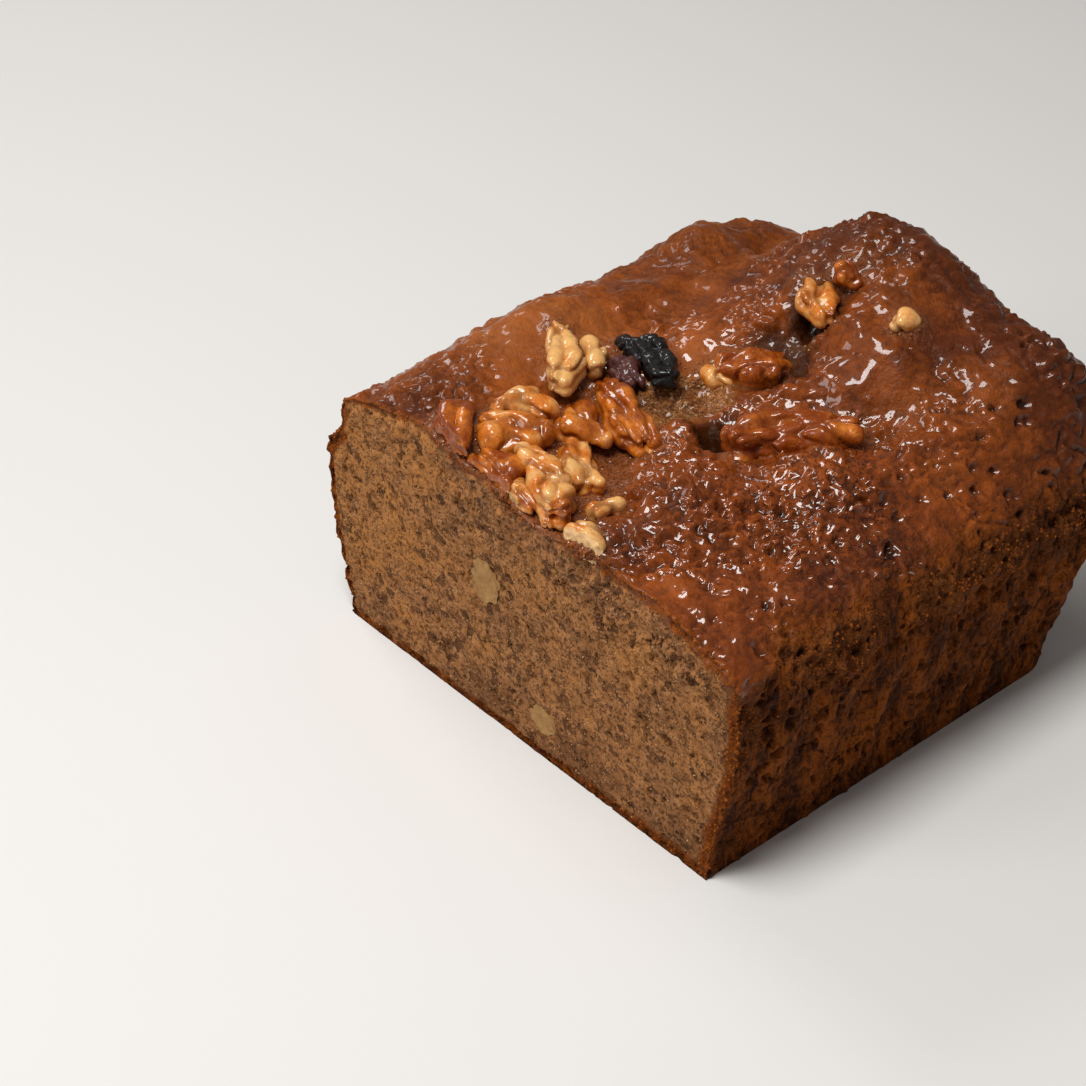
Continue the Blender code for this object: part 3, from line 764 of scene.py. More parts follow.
tornRule = dict(
    rough=(1.0, 0.0030, 50), fine=(0.5, 0.0014, 51), clots=(0.0022, 0.5, 52), level=0.35, clotDepth=0.6,
    rise=0.0013, onLedge=0.9, clotShade=0.8, pitGain=2.4, pitStart=0.5,
    sideGrain=0.0007, sideSize=(0.0016, 0.0016, 0.0028), sideSeed=53,
)


def tornCrumb(skin, torn, ledge):  # the rise of torn crumb, and the holes between its clots, which get painted shade
    rule = tornRule
    rough = np.abs(noiseOf(skin.bent, rule["rough"])) + np.abs(noiseOf(skin.bent, rule["fine"]))
    clots = hollows(skin.bent, *rule["clots"])
    rough = rough - rule["level"] - rule["clotDepth"] * clots
    return (torn + rule["onLedge"] * ledge) * rule["rise"] * rough, torn * clots * rule["clotShade"]


poreRule = dict(
    bend=(0.0008, 0.0017, 60), stretch=(1.0, 1.0, 0.8), flatten=(1.0, 1.0, 1.6),
    small=(0.0012, 0.34, 70), smallGain=0.7, middle=(0.0019, 0.15, 71), middleGain=0.9,
    large=(0.0040, 0.06, 72), largeGain=1.3, share=0.85, uneven=(0.9, 0.0009, 75), gain=1.25, depth=0.0010,
    grain=(0.00018, 0.0012, 73), broadGrain=(0.00018, 0.0030, 74),
    borderWidth=0.0022, borderFade=0.0016, borderDepth=0.0006, borderShare=0.8,
    borderWave=(1.4, 0.0024, 76), borderFine=(0.7, 0.0011, 77),
)


def crumbPores(skin, crumb, inset):  # pores of the cut, the rise of its crumb and of its rough border
    rule = poreRule
    flat = stack(skin.x, 0.0, skin.z)
    soft = flat + shiftOf(flat, rule["bend"])
    stretched = soft * np.array(rule["stretch"])
    small = hollows(stretched, *rule["small"]) * rule["smallGain"]
    middle = hollows(stretched, *rule["middle"]) * rule["middleGain"]
    large = hollows(stretched * np.array(rule["flatten"]), *rule["large"]) * rule["largeGain"]
    found = np.maximum(np.maximum(small, middle), large)
    found = found * (rule["share"] + noiseOf(soft, rule["uneven"]))
    found = smooth(np.clip(found, 0.0, 1.0) * rule["gain"]) * crumb
    grain = crumb * (noiseOf(soft, rule["grain"]) + noiseOf(soft, rule["broadGrain"]))
    border = skin.cut * smooth((rule["borderWidth"] - inset) / rule["borderFade"])
    rough = rule["borderShare"] + noiseOf(flat, rule["borderWave"]) + noiseOf(flat, rule["borderFine"])
    return found, grain, rule["borderDepth"] * border * rough


# Slices of walnut in the crumb: x, z, width, height, depth
slicedWalnuts = {
    "cut_walnut_upper": (-0.0125, 0.0335, 0.0080, 0.0100, 0.0060),
    "cut_walnut_lower": (0.0045, 0.0090, 0.0070, 0.0060, 0.0050),
}
pocketRule = dict(reach=1.12, fade=0.22, depth=0.0012)


def walnutPockets(skin, rise):  # clears the relief where a slice of walnut shows
    rule = pocketRule
    for middleX, middleZ, width, tall, _ in slicedWalnuts.values():
        away = np.hypot((skin.x - middleX) / (width / 2.0), (skin.z - middleZ) / (tall / 2.0))
        pocket = skin.cut * smooth((rule["reach"] - away) / rule["fade"])
        rise = rise * (1.0 - pocket) - rule["depth"] * pocket
    return rise


toneRule = dict(
    middle=0.5, broad=(0.30, 0.017, 80), left=0.28, leftFrom=0.012, leftFade=0.030,
    low=0.42, lowFrom=0.020, lowFade=0.020, cutBroad=(0.34, 0.012, 81), cutFine=(0.22, 0.0045, 82),
)


def toneOf(skin, points):  # how light or dark it baked, and how light the crumb of the cut is, with painted shade towards its bottom
    rule = toneRule
    tone = rule["middle"] + noiseOf(points, rule["broad"])
    for patch in bakedPatches:
        tone = tone + spotOf(skin, patch)
    cutTone = rule["middle"] + rule["left"] * smooth((-skin.x - rule["leftFrom"]) / rule["leftFade"])
    # Painted shade, darker towards the bottom of the cut
    cutTone = cutTone - rule["low"] * smooth((rule["lowFrom"] - skin.z) / rule["lowFade"])
    cutTone = cutTone + noiseOf(points, rule["cutBroad"]) + noiseOf(points, rule["cutFine"])
    return np.where(skin.cut, cutTone, tone)


wetRule = dict(
    flank=0.50, torn=0.6, cut=0.85, cutDepth=0.0016, cutFade=0.0010, edgeFade=0.004,
    far=0.42, farFrom=0.052, farFade=0.036,
)


def wetness(skin, gloss, edge, flank, torn):  # how much glaze lies on the crust
    rule = wetRule
    onCut = smooth((rule["cutDepth"] - skin.y) / rule["cutFade"])
    wet = gloss * (1.0 - rule["flank"] * flank) * (1.0 - rule["torn"] * torn)
    wet = wet * (1.0 - rule["cut"] * onCut) * ~skin.base * smooth((skin.z - edge) / rule["edgeFade"])
    return wet * (1.0 - rule["far"] * smooth((skin.y - rule["farFrom"]) / rule["farFade"]))


skinRule = dict(
    collar=0.0007, collarShade=0.8, flankFrom=0.018, flankFade=0.012, lump=0.0006, lumpSize=0.0075,
    lumpSeed=34, bend=(0.0007, 0.0032, 20), turn=0.7, turnBend=(0.0009, 0.0050, 33), rindFade=0.0012,
)


def plainSkin(corners):  # the plain loaf's points, with the places where its noise is read
    rule = skinRule
    points, height = loafSkin(corners)
    x, y, z = points.T
    across, along = rule["turn"] * x + rule["turn"] * y, rule["turn"] * y - rule["turn"] * x
    return SimpleNamespace(
        points=points, height=height, x=x, y=y, z=z,
        top=corners[:, 2] == 1.0, cut=corners[:, 1] == 0.0, base=corners[:, 2] == 0.0,
        bent=points + shiftOf(points, rule["bend"]),
        turned=stack(across, along, z) + shiftOf(points, rule["turnBend"]),
    )


def loafRelief(skin):  # how far each point rises, and the masks for the material
    rule = skinRule
    gloss, edge = glossOf(skin)
    opened, torn, deepPit = crackMasks(skin)
    ledge = ledgeUnder(skin, edge)
    crumb, inset = cutFace(skin)
    collar = stickyCollar(skin.points)
    sticky = opened - torn + rule["collarShade"] * collar * skin.top * (1.0 - torn)
    sticky = np.clip(sticky, 0.0, 1.0) * (1.0 - deepPit)
    flank = smooth((-skin.x - rule["flankFrom"]) / rule["flankFade"])
    grainy = grainyPatch(skin, gloss, opened)
    creased, creaseShade = creases(skin, gloss, opened, flank, grainy)
    lumps = waves(skin.points, rule["lumpSize"], rule["lumpSeed"])
    pore = crustHoles(skin, gloss, flank)
    tornRise, clots = tornCrumb(skin, torn, ledge)
    side = (1.0 - gloss) * ~skin.cut * ~skin.base
    cutPores, crumbRise, border = crumbPores(skin, crumb, inset)

    rise = rule["collar"] * collar * skin.top
    rise = rise + creased
    rise = rise + gloss * skin.top * rule["lump"] * lumps * (1.0 - opened)
    rise = rise - holeRule["depth"] * pore
    rise = rise + tornRise
    grain = waves(skin.bent, tornRule["sideSize"], tornRule["sideSeed"])
    rise = rise + side * tornRule["sideGrain"] * grain
    rise = rise - cutPores * poreRule["depth"]
    rise = rise + crumbRise
    rise = walnutPockets(skin, rise - border)

    # Painted shade, near black, in the deep pits, joined with the painted shade of the holes, clots and
    # pores. The pits also lose their torn and sticky colour
    dark = smooth(deepPit * tornRule["pitGain"] - tornRule["pitStart"])
    pore = np.maximum(np.maximum(np.maximum(pore, clots), dark), cutPores)
    masks = dict(
        gloss=gloss * ~skin.base, wet=wetness(skin, gloss, edge, flank, torn), torn=torn * (1.0 - deepPit),
        ledge=ledge, sticky=sticky, crumb=crumb, grainy=grainy,
        rind=skin.cut * (1.0 - crumb) * smooth(skin.z / rule["rindFade"]), pore=pore, creaseShade=creaseShade,
    )
    return rise, masks


def buildLoaf():
    corners, faces = blockSkin(loafForm["cells"])
    skin = plainSkin(corners)
    mesh = bpy.data.meshes.new("bread_skin")
    mesh.from_pydata(skin.points, [], faces)
    rise, masks = loafRelief(skin)
    points = skin.points + meshNormals(mesh) * (rise * ~skin.base)[:, None]
    points[:, 2] = np.clip(points[:, 2], 0.0, None)
    masks["tone"] = toneOf(skin, points)
    points[:, :2] += np.array(loafForm["place"])
    setPoints(mesh, points)
    for name, values in masks.items():
        setMask(mesh, name, values)
    obj = addObject("loaf_crumb_and_crust", mesh)
    thin = obj.modifiers.new("thin", "DECIMATE")
    thin.ratio = loafForm["faces"] / (2.0 * len(mesh.polygons))
    applyModifiers(obj)
    obj.data.shade_smooth()
    return obj


# Colours, in linear light
crustLook = dict(
    tan=(0.340, 0.120, 0.034, 1), amber=(0.350, 0.086, 0.007, 1), brown=(0.100, 0.022, 0.004, 1),
    # The first colour below is painted shade for the crust's creases, holes and pores
    recessShade=(0.022, 0.005, 0.002, 1), side=(0.115, 0.026, 0.002, 1), sideDark=(0.036, 0.009, 0.002, 1),
    sideWarm=(0.290, 0.070, 0.005, 1), rind=(0.250, 0.062, 0.005, 1), ledge=(0.170, 0.057, 0.013, 1),
    crumb=(0.405, 0.186, 0.074, 1), crumbDark=(0.165, 0.066, 0.024, 1), crumbWarm=(0.450, 0.180, 0.046, 1),
    # The first colour below is painted shade for the pores of the crumb
    poreShade=(0.095, 0.035, 0.012, 1), seed=(0.022, 0.010, 0.006, 1), fibre=(0.520, 0.300, 0.140, 1),
    torn=(0.400, 0.170, 0.050, 1), batter=(0.235, 0.092, 0.042, 1),
)
crustShader = {
    "Specular IOR Level": 0.12, "Coat Roughness": 0.09, "Coat IOR": 1.45, "Coat Tint": (1.0, 0.84, 0.66, 1),
    "Subsurface Radius": (0.0014, 0.0007, 0.0004), "Subsurface Weight": 0.06, "Subsurface Scale": 1.0,
}

# Patterns of the loaf, each for the group that is named where it is placed
crustPatterns = dict(
    clouds=dict(Broad=170.0, Fine=900.0, Contrast=1.5),
    grains=dict(Scale=850.0, Level=0.38, Edge=0.10),
    sidePatches=dict(Broad=190.0, Fine=1100.0, Contrast=3.2),
    sideHoles=dict(Scale=620.0, Level=0.34, Edge=0.05),
    crumbPatches=dict(Broad=330.0, Fine=1500.0, Contrast=2.4),
    warmPatches=dict(Broad=90.0, Fine=420.0, Contrast=2.0),
    holes=dict(Scale=700.0, Level=0.35, Edge=0.06),
    fineHoles=dict(Scale=1500.0, Level=0.35, Edge=0.07),
    bigHoles=dict(Scale=290.0, Level=0.345, Edge=0.04),
    threads=dict(Scale=900.0, Share=0.14, Size=0.4),
    seeds=dict(Scale=520.0, Share=0.08, Size=0.26),
    ripples=dict(Scale=560.0, Fine=1500.0),
)

# Shares of the colours and the relief. Those in brackets are ramps: from, to, and the share at each.
crustMix = dict(
    cloud=0.75, toneLevel=0.38, creaseShadeToBrown=0.30, tan=(0.55, 0.95, 0.0, 0.65), creaseShade=0.75, grains=0.5,
    pore=0.93, sticky=0.85, streak=(1.0, 1.0, 0.35), even=0.25, ledge=0.75, sideHoles=0.8, sidePore=0.8,
    warm=0.5, dark=(0.0, 0.5, 0.75, 0.0), light=(0.5, 1.0, 0.0, 0.8), thread=(1.0, 1.0, 3.2),
    threadTurn=(0, 0.5, 0), fibre=0.4, bigPores=0.75, dense=(0.0, 1.0, 0.58, 0.12), cutPore=0.40, seeds=0.8,
    tornCloud=(0.45, 0.8, 0.0, 0.7), tornPore=0.7, rind=0.85, roughness=(0.0, 1.0, 0.42, 0.85),
    ripples=0.55, smallRelief=0.7, bigRelief=1.3, grainyRelief=0.45, relief=0.0011, strength=0.9,
)


def pattern(tree, group, place, values):
    return placeGroup(tree, group, dict(values, Vector=place))


def coat(tree, amount, share, under, over):  # a colour laid over another by a share of a mask
    return tint(tree, calc(tree, "MULTIPLY", amount, share), under, over)


def glossyColour(tree, masks, cloud, grains):
    look, mix = crustLook, crustMix
    level = calc(tree, "SUBTRACT", masks["tone"], mix["toneLevel"])
    lean = calc(tree, "MULTIPLY_ADD", cloud, mix["cloud"], level)
    # Painted shade in the creases shifts the crust towards brown and towards the near black shade colour
    creaseShadeBrown = calc(tree, "MULTIPLY", masks["creaseShade"], mix["creaseShadeToBrown"])
    crust = tint(tree, calc(tree, "SUBTRACT", lean, creaseShadeBrown, clamp=True), look["brown"], look["amber"])
    crust = tint(tree, fade(tree, masks["tone"], *mix["tan"]), crust, look["tan"])
    crust = coat(tree, masks["creaseShade"], mix["creaseShade"], crust, look["recessShade"])
    # Painted shade in the open pores of the grainy patch and in the holes of the crust
    openGrain = calc(tree, "MULTIPLY", grains, mix["grains"])
    crust = coat(tree, masks["grainy"], openGrain, crust, look["recessShade"])
    crust = coat(tree, masks["pore"], mix["pore"], crust, look["recessShade"])
    return coat(tree, masks["sticky"], mix["sticky"], crust, look["batter"])


# The side's own dark crust, darkened further as painted shade against the light that the pale floor bounces
# up
def sideColour(tree, masks, place):
    look, mix = crustLook, crustMix
    streak = addNode(tree, "ShaderNodeMapping", {"Vector": place, "Scale": mix["streak"]}).outputs[0]
    patch = pattern(tree, mottle, streak, crustPatterns["sidePatches"])[0]
    side = tint(tree, patch, look["sideDark"], look["sideWarm"])
    side = tint(tree, mix["even"], side, look["side"])
    side = coat(tree, masks["ledge"], mix["ledge"], side, tint(tree, patch, look["side"], look["ledge"]))
    # Painted shade in the side's pores and holes
    holes = pattern(tree, sponge, streak, crustPatterns["sideHoles"])[0]
    side = coat(tree, holes, mix["sideHoles"], side, look["recessShade"])
    return coat(tree, masks["pore"], mix["sidePore"], side, look["recessShade"])


def crumbColour(tree, masks, place, patchy, holes):  # holes are the big, middle and small pores, darkened as painted shade
    look, mix = crustLook, crustMix
    inner = tint(tree, patchy, look["crumbDark"], look["crumb"])
    warm = pattern(tree, mottle, place, crustPatterns["warmPatches"])[0]
    inner = coat(tree, warm, mix["warm"], inner, look["crumbWarm"])
    # Low tone darkens the crumb in its random patches and in the painted shade at the bottom of the cut
    inner = tint(tree, fade(tree, masks["tone"], *mix["dark"]), inner, look["crumbDark"])
    inner = tint(tree, fade(tree, masks["tone"], *mix["light"]), inner, look["crumbWarm"])
    bent = {"Vector": place, "Scale": mix["thread"], "Rotation": mix["threadTurn"]}
    threads = addNode(tree, "ShaderNodeMapping", bent).outputs[0]
    fibres = pattern(tree, speckle, threads, crustPatterns["threads"])[0]
    inner = coat(tree, fibres, mix["fibre"], inner, look["fibre"])
    dense = fade(tree, warm, *mix["dense"])
    # Painted shade in the pores of the cut
    for hole, share in zip(holes, (mix["bigPores"], dense, dense)):
        inner = coat(tree, hole, share, inner, look["poreShade"])
    inner = coat(tree, masks["pore"], mix["cutPore"], inner, look["poreShade"])
    seeds = pattern(tree, speckle, place, crustPatterns["seeds"])[0]
    return coat(tree, seeds, mix["seeds"], inner, look["seed"])


def tornColour(tree, masks, cloud, patchy):
    look, mix = crustLook, crustMix
    inner = tint(tree, patchy, look["crumbDark"], look["torn"])
    inner = tint(tree, fade(tree, cloud, *mix["tornCloud"]), inner, look["brown"])
    # Painted shade in the holes between the clots and in the deep pits
    return coat(tree, masks["pore"], mix["tornPore"], inner, look["poreShade"])


def loafMaterial():
    mix = crustMix
    made, tree, shader, place = newMaterial("baked_loaf", **crustShader)
    names = ("gloss", "torn", "ledge", "sticky", "crumb", "rind", "grainy", "pore", "tone", "creaseShade", "wet")
    masks = {name: mask(tree, name) for name in names}
    cloud = pattern(tree, mottle, place, crustPatterns["clouds"])[0]
    patchy = pattern(tree, mottle, place, crustPatterns["crumbPatches"])[0]
    grains = pattern(tree, sponge, place, crustPatterns["grains"])
    big, middle, small = (
        pattern(tree, sponge, place, crustPatterns[name]) for name in ("bigHoles", "holes", "fineHoles")
    )
    side = sideColour(tree, masks, place)
    colour = tint(tree, masks["gloss"], side, glossyColour(tree, masks, cloud, grains["Pore"]))
    rindColour = tint(tree, cloud, crustLook["side"], crustLook["rind"])
    colour = coat(tree, masks["rind"], mix["rind"], colour, rindColour)
    colour = tint(tree, masks["torn"], colour, tornColour(tree, masks, cloud, patchy))
    pores = [group["Pore"] for group in (big, middle, small)]
    colour = tint(tree, masks["crumb"], colour, crumbColour(tree, masks, place, patchy, pores))
    tree.links.new(colour, shader.inputs["Base Color"])
    dry = calc(tree, "MAXIMUM", masks["crumb"], calc(tree, "SUBTRACT", 1.0, masks["gloss"]))
    tree.links.new(fade(tree, dry, *mix["roughness"]), shader.inputs["Roughness"])
    tree.links.new(masks["wet"], shader.inputs["Coat Weight"])
    ripples = pattern(tree, ripple, place, crustPatterns["ripples"])[0]
    skin = calc(tree, "MULTIPLY", ripples, mix["ripples"])
    grain = calc(tree, "ADD", middle["Height"], calc(tree, "MULTIPLY", small["Height"], mix["smallRelief"]))
    grain = calc(tree, "ADD", grain, calc(tree, "MULTIPLY", big["Height"], mix["bigRelief"]))
    clotted = calc(tree, "MAXIMUM", masks["torn"], masks["sticky"])
    clotted = calc(tree, "MAXIMUM", clotted, calc(tree, "MULTIPLY", masks["grainy"], mix["grainyRelief"]))
    skin = addNode(tree, "ShaderNodeMix", {0: clotted, 2: skin, 3: grains["Height"]}).outputs[0]
    height = addNode(tree, "ShaderNodeMix", {0: dry, 2: skin, 3: grain}).outputs[0]
    tree.links.new(bump(tree, height, mix["relief"], mix["strength"]), shader.inputs["Normal"])
    return made


loaf = buildLoaf()
loaf.data.materials.append(loafMaterial())
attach(loaf, "root")
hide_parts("loaf")
print("loaf:", len(loaf.data.polygons), "faces")


# Nuts and fruit on the top

nutLook = dict(
    cream=(0.800, 0.535, 0.270, 1), gold=(0.600, 0.205, 0.024, 1), toast=(0.250, 0.052, 0.004, 1),
    fold=(0.160, 0.030, 0.003, 1),
)
nutShader = {
    "Coat Roughness": 0.07, "Coat IOR": 1.45, "Coat Tint": (1.0, 0.80, 0.52, 1), "Specular IOR Level": 0.25,
    "Subsurface Radius": (0.0026, 0.0013, 0.0005), "Subsurface Weight": 0.22, "Subsurface Scale": 1.0,
}
nutMix = dict(
    patchy=0.55, light=(0.0, 0.5), baked=(0.5, 1.0), fold=0.55, roughness=(0.0, 1.0, 0.34, 0.6),
    glaze=(0.0, 1.0, 0.9, 0.35), drops=0.35, relief=0.0004, strength=0.8,
)
nutPatterns = dict(
    clouds=dict(Broad=300.0, Fine=1500.0, Contrast=1.5), ripples=dict(Scale=420.0, Fine=1900.0),
    drops=dict(Scale=1250.0, Share=0.30, Size=0.34),
)


def nutMaterial():
    look, mix = nutLook, nutMix
    made, tree, shader, place = newMaterial("glazed_walnut", **nutShader)
    toast, fresh, fold = (mask(tree, n) for n in ("toast", "fresh", "fold"))
    cloud = pattern(tree, mottle, place, nutPatterns["clouds"])[0]
    patchy = calc(tree, "MULTIPLY", calc(tree, "SUBTRACT", cloud, 0.5), mix["patchy"])
    baked = calc(tree, "ADD", toast, patchy, clamp=True)
    light = tint(tree, fade(tree, baked, *mix["light"]), look["cream"], look["gold"])
    colour = tint(tree, fade(tree, baked, *mix["baked"]), light, look["toast"])
    colour = coat(tree, fold, mix["fold"], colour, look["fold"])
    colour = tint(tree, fresh, colour, look["cream"])
    tree.links.new(colour, shader.inputs["Base Color"])
    tree.links.new(fade(tree, fresh, *mix["roughness"]), shader.inputs["Roughness"])
    tree.links.new(fade(tree, fresh, *mix["glaze"]), shader.inputs["Coat Weight"])
    skin = pattern(tree, ripple, place, nutPatterns["ripples"])[0]
    drops = pattern(tree, speckle, place, nutPatterns["drops"])[0]
    skin = calc(tree, "ADD", skin, calc(tree, "MULTIPLY", drops, mix["drops"]))
    tree.links.new(bump(tree, skin, mix["relief"], mix["strength"]), shader.inputs["Normal"])
    return made


fruitShader = {"Coat Roughness": 0.08, "Coat Weight": 0.5, "Specular IOR Level": 0.15}
fruitPatterns = dict(
    bloom=dict(Broad=350.0, Fine=1700.0, Contrast=2.4), ripples=dict(Scale=500.0, Fine=1500.0),
)


def fruitMaterial(name, dark, light):
    made, tree, shader, place = newMaterial(name, **fruitShader)
    fold = mask(tree, "fold")
    cloud = pattern(tree, mottle, place, fruitPatterns["bloom"])[0]
    bloom = calc(tree, "MULTIPLY", cloud, calc(tree, "SUBTRACT", 1.0, fold), clamp=True)
    tree.links.new(tint(tree, bloom, dark, light), shader.inputs["Base Color"])
    tree.links.new(fade(tree, cloud, 0.0, 1.0, 0.45, 0.70), shader.inputs["Roughness"])
    skin = pattern(tree, ripple, place, fruitPatterns["ripples"])[0]
    tree.links.new(bump(tree, skin, 0.0005, 0.8), shader.inputs["Normal"])
    return made


def lobes(name):  # balls close together along each row of knobs, so that they melt into long lobes
    rule = knobRule
    for row in (0, 1):
        for level in (0, 1):
            chain = [k for k in allKnobs[name] if k[2] == row and k[3] == level]
            for first, second in zip(chain, chain[1:]):
                for step in range(rule["between"]):
                    t = step / rule["between"]
                    waist = 1.0 - rule["waist"] * math.sin(math.pi * t)
                    yield first[0].lerp(second[0], t), (first[1] + (second[1] - first[1]) * t) * waist
            if chain:
                yield chain[-1][:2]


def meltLobes(name):
    bm = bmesh.new()
    for middle, radius in lobes(name):
        bmesh.ops.create_icosphere(bm, subdivisions=2, radius=radius, matrix=Matrix.Translation(middle))
    mesh = bpy.data.meshes.new(name + "_baked")
    bm.to_mesh(mesh)
    bm.free()
    obj = addObject(name + "_baked", mesh)
    melt = obj.modifiers.new("melt", "REMESH")
    melt.mode = "VOXEL"
    melt.voxel_size = bakeRule["voxel"]
    ease = obj.modifiers.new("ease", "SMOOTH")
    ease.iterations = bakeRule["melt"]
    applyModifiers(obj)
    return obj


def bakeNoise(points, label, seed):
    amount, size, step = bakeRule[label]
    return amount * waves(points, size, seed + step)


def breakOff(points, spec):  # flattens the broken end, and gives how pale it is
    rule = bakeRule
    heading, out = spec["broken"]
    turn = math.radians(heading)
    way = np.array([math.cos(turn), math.sin(turn), rule["breakSlope"]])
    half = 0.0005 * spec["length"]  # half the length, in metres
    over = (points - np.mean(points, axis=0)) @ way - out * half
    cutBack = np.clip(over, 0.0, None)[:, None] * way * rule["breakFlat"]
    return points - cutBack, smooth(over / rule["breakFade"]) * rule["breakPale"]


def buildTopping(name, spec, wrinkles):
    rule = bakeRule
    obj = meltLobes(name)
    mesh = obj.data
    points, normals = getPoints(mesh), meshNormals(mesh)
    seed = rule["firstSeed"] + sum(map(ord, name))
    turned = np.array(Matrix.Rotation(math.radians(-spec["heading"]), 3, "Z"))
    local = (points - np.array(allKnobs[name][0][0])) @ turned.T
    size = np.array(rule["creaseStretch"]) * rule["creaseSize"]
    crease = bell(waves(local, size, seed), rule["creaseEdge"])
    moved = spec.get("swell", rule["swell"]) + bakeNoise(local, "broad", seed)
    moved = moved - rule["crease"] * crease + bakeNoise(local, "wrinkle", seed) * wrinkles
    points = points + normals * moved[:, None]
    fresh = np.zeros(len(points))
    if "broken" in spec:
        points, fresh = breakOff(points, spec)
    onCut = points * np.array([1.0, 0.0, 1.0])
    knife = rule["knife"] + np.abs(bakeNoise(onCut, "knifeRough", seed))
    sliced = smooth((knife - points[:, 1]) / rule["knifeFade"]) * spec.get("sliced", 0.0)
    fresh = np.maximum(fresh, sliced)
    points[:, 1] = np.maximum(points[:, 1], knife)
    toast = spec["toast"] - rule["toastShift"]
    toast = toast + bakeNoise(points, "toastBroad", seed) + bakeNoise(points, "toastFine", seed)
    points[:, :2] += np.array(loafForm["place"])
    setPoints(mesh, points)
    setMask(mesh, "toast", toast)
    setMask(mesh, "fresh", fresh)
    setMask(mesh, "fold", crease * (1.0 - fresh))
    mesh.shade_smooth()
    return obj


walnutSkin = nutMaterial()
fruitSkins = {
    "fruit_black": fruitMaterial("black_fruit_skin", (0.003, 0.002, 0.002, 1), (0.013, 0.010, 0.010, 1)),
    "fruit_maroon": fruitMaterial("maroon_fruit_skin", (0.050, 0.010, 0.007, 1), (0.120, 0.038, 0.030, 1)),
}
fruitSlots = {"fruit_black": "black_fruit", "fruit_maroon": "maroon_fruit"}
for name, spec in toppings.items():
    piece = buildTopping(name, spec, bakeRule["fruitWrinkle"] if name in fruitSkins else 1.0)
    piece.data.materials.append(fruitSkins.get(name, walnutSkin))
    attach(piece, "root")
    fruitSlots.get(name, "walnut")
    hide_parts(name)
print("toppings:", len(toppings))


# Walnut that the knife sliced

# Lumps are their amount, their pitch on a ball of radius 1 and how far the piece's x moves them.
sliceRule = dict(
    lumps=((0.22, 1.6, 900.0), (0.18, 3.7, 500.0)), face=0.00035, rough=(0.00012, 0.0016, 90), fade=0.0004,
    pale=(0.420, 0.235, 0.078, 1), brown=(0.280, 0.130, 0.040, 1), rim=(0.160, 0.065, 0.022, 1),
    clouds=dict(Broad=350.0, Fine=1500.0, Contrast=2.0), ripples=dict(Scale=800.0, Fine=2300.0),
)


def buildSlicedWalnut(name, spec):
    x, z, width, tall, depth = spec
    bm = bmesh.new()
    bmesh.ops.create_icosphere(bm, subdivisions=5, radius=1.0)
    for vert in bm.verts:
        swell = 1.0
        for amount, pitch, move in sliceRule["lumps"]:
            swell += amount * noise.noise(vert.co * pitch + Vector((x * move, 0.0, 0.0)))
        across, deep, up = vert.co
        vert.co = Vector((
            x + across * width / 2.0 * swell, deep * depth * swell, z + up * tall / 2.0 * swell,
        ))
    mesh = bpy.data.meshes.new(name + "_slice")
    bm.to_mesh(mesh)
    bm.free()
    points = getPoints(mesh)
    face = sliceRule["face"] + noiseOf(points, sliceRule["rough"])
    fresh = smooth((face + sliceRule["fade"] - points[:, 1]) / sliceRule["fade"])
    points[:, 1] = np.maximum(points[:, 1], face)
    points[:, :2] += np.array(loafForm["place"])
    setPoints(mesh, points)
    setMask(mesh, "fresh", fresh)
    mesh.shade_smooth()
    return addObject(name + "_slice", mesh)


sliceShader = {"Roughness": 0.6, "Specular IOR Level": 0.15}


def slicedMaterial():
    made, tree, shader, place = newMaterial("sliced_walnut", **sliceShader)
    cloud = pattern(tree, mottle, place, sliceRule["clouds"])[0]
    pale = tint(tree, cloud, sliceRule["brown"], sliceRule["pale"])
    tree.links.new(tint(tree, mask(tree, "fresh"), sliceRule["rim"], pale), shader.inputs["Base Color"])
    skin = pattern(tree, ripple, place, sliceRule["ripples"])[0]
    tree.links.new(bump(tree, skin, 0.0003, 0.6), shader.inputs["Normal"])
    return made


sliceSkin = slicedMaterial()
for name, spec in slicedWalnuts.items():
    piece = buildSlicedWalnut(name, spec)
    piece.data.materials.append(sliceSkin)
    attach(piece, "root")
    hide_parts(name)
print("sliced walnuts:", len(slicedWalnuts))


# Crumbs and beads of glaze, scattered by one tree

# The most that a bit turns, in radians, its slimmest shape and how far bits keep to the mask's middle
bitRule = dict(turn=(6.3, 6.3, 6.3), slimmest=(0.6, 0.6, 0.4), gather=2.0)


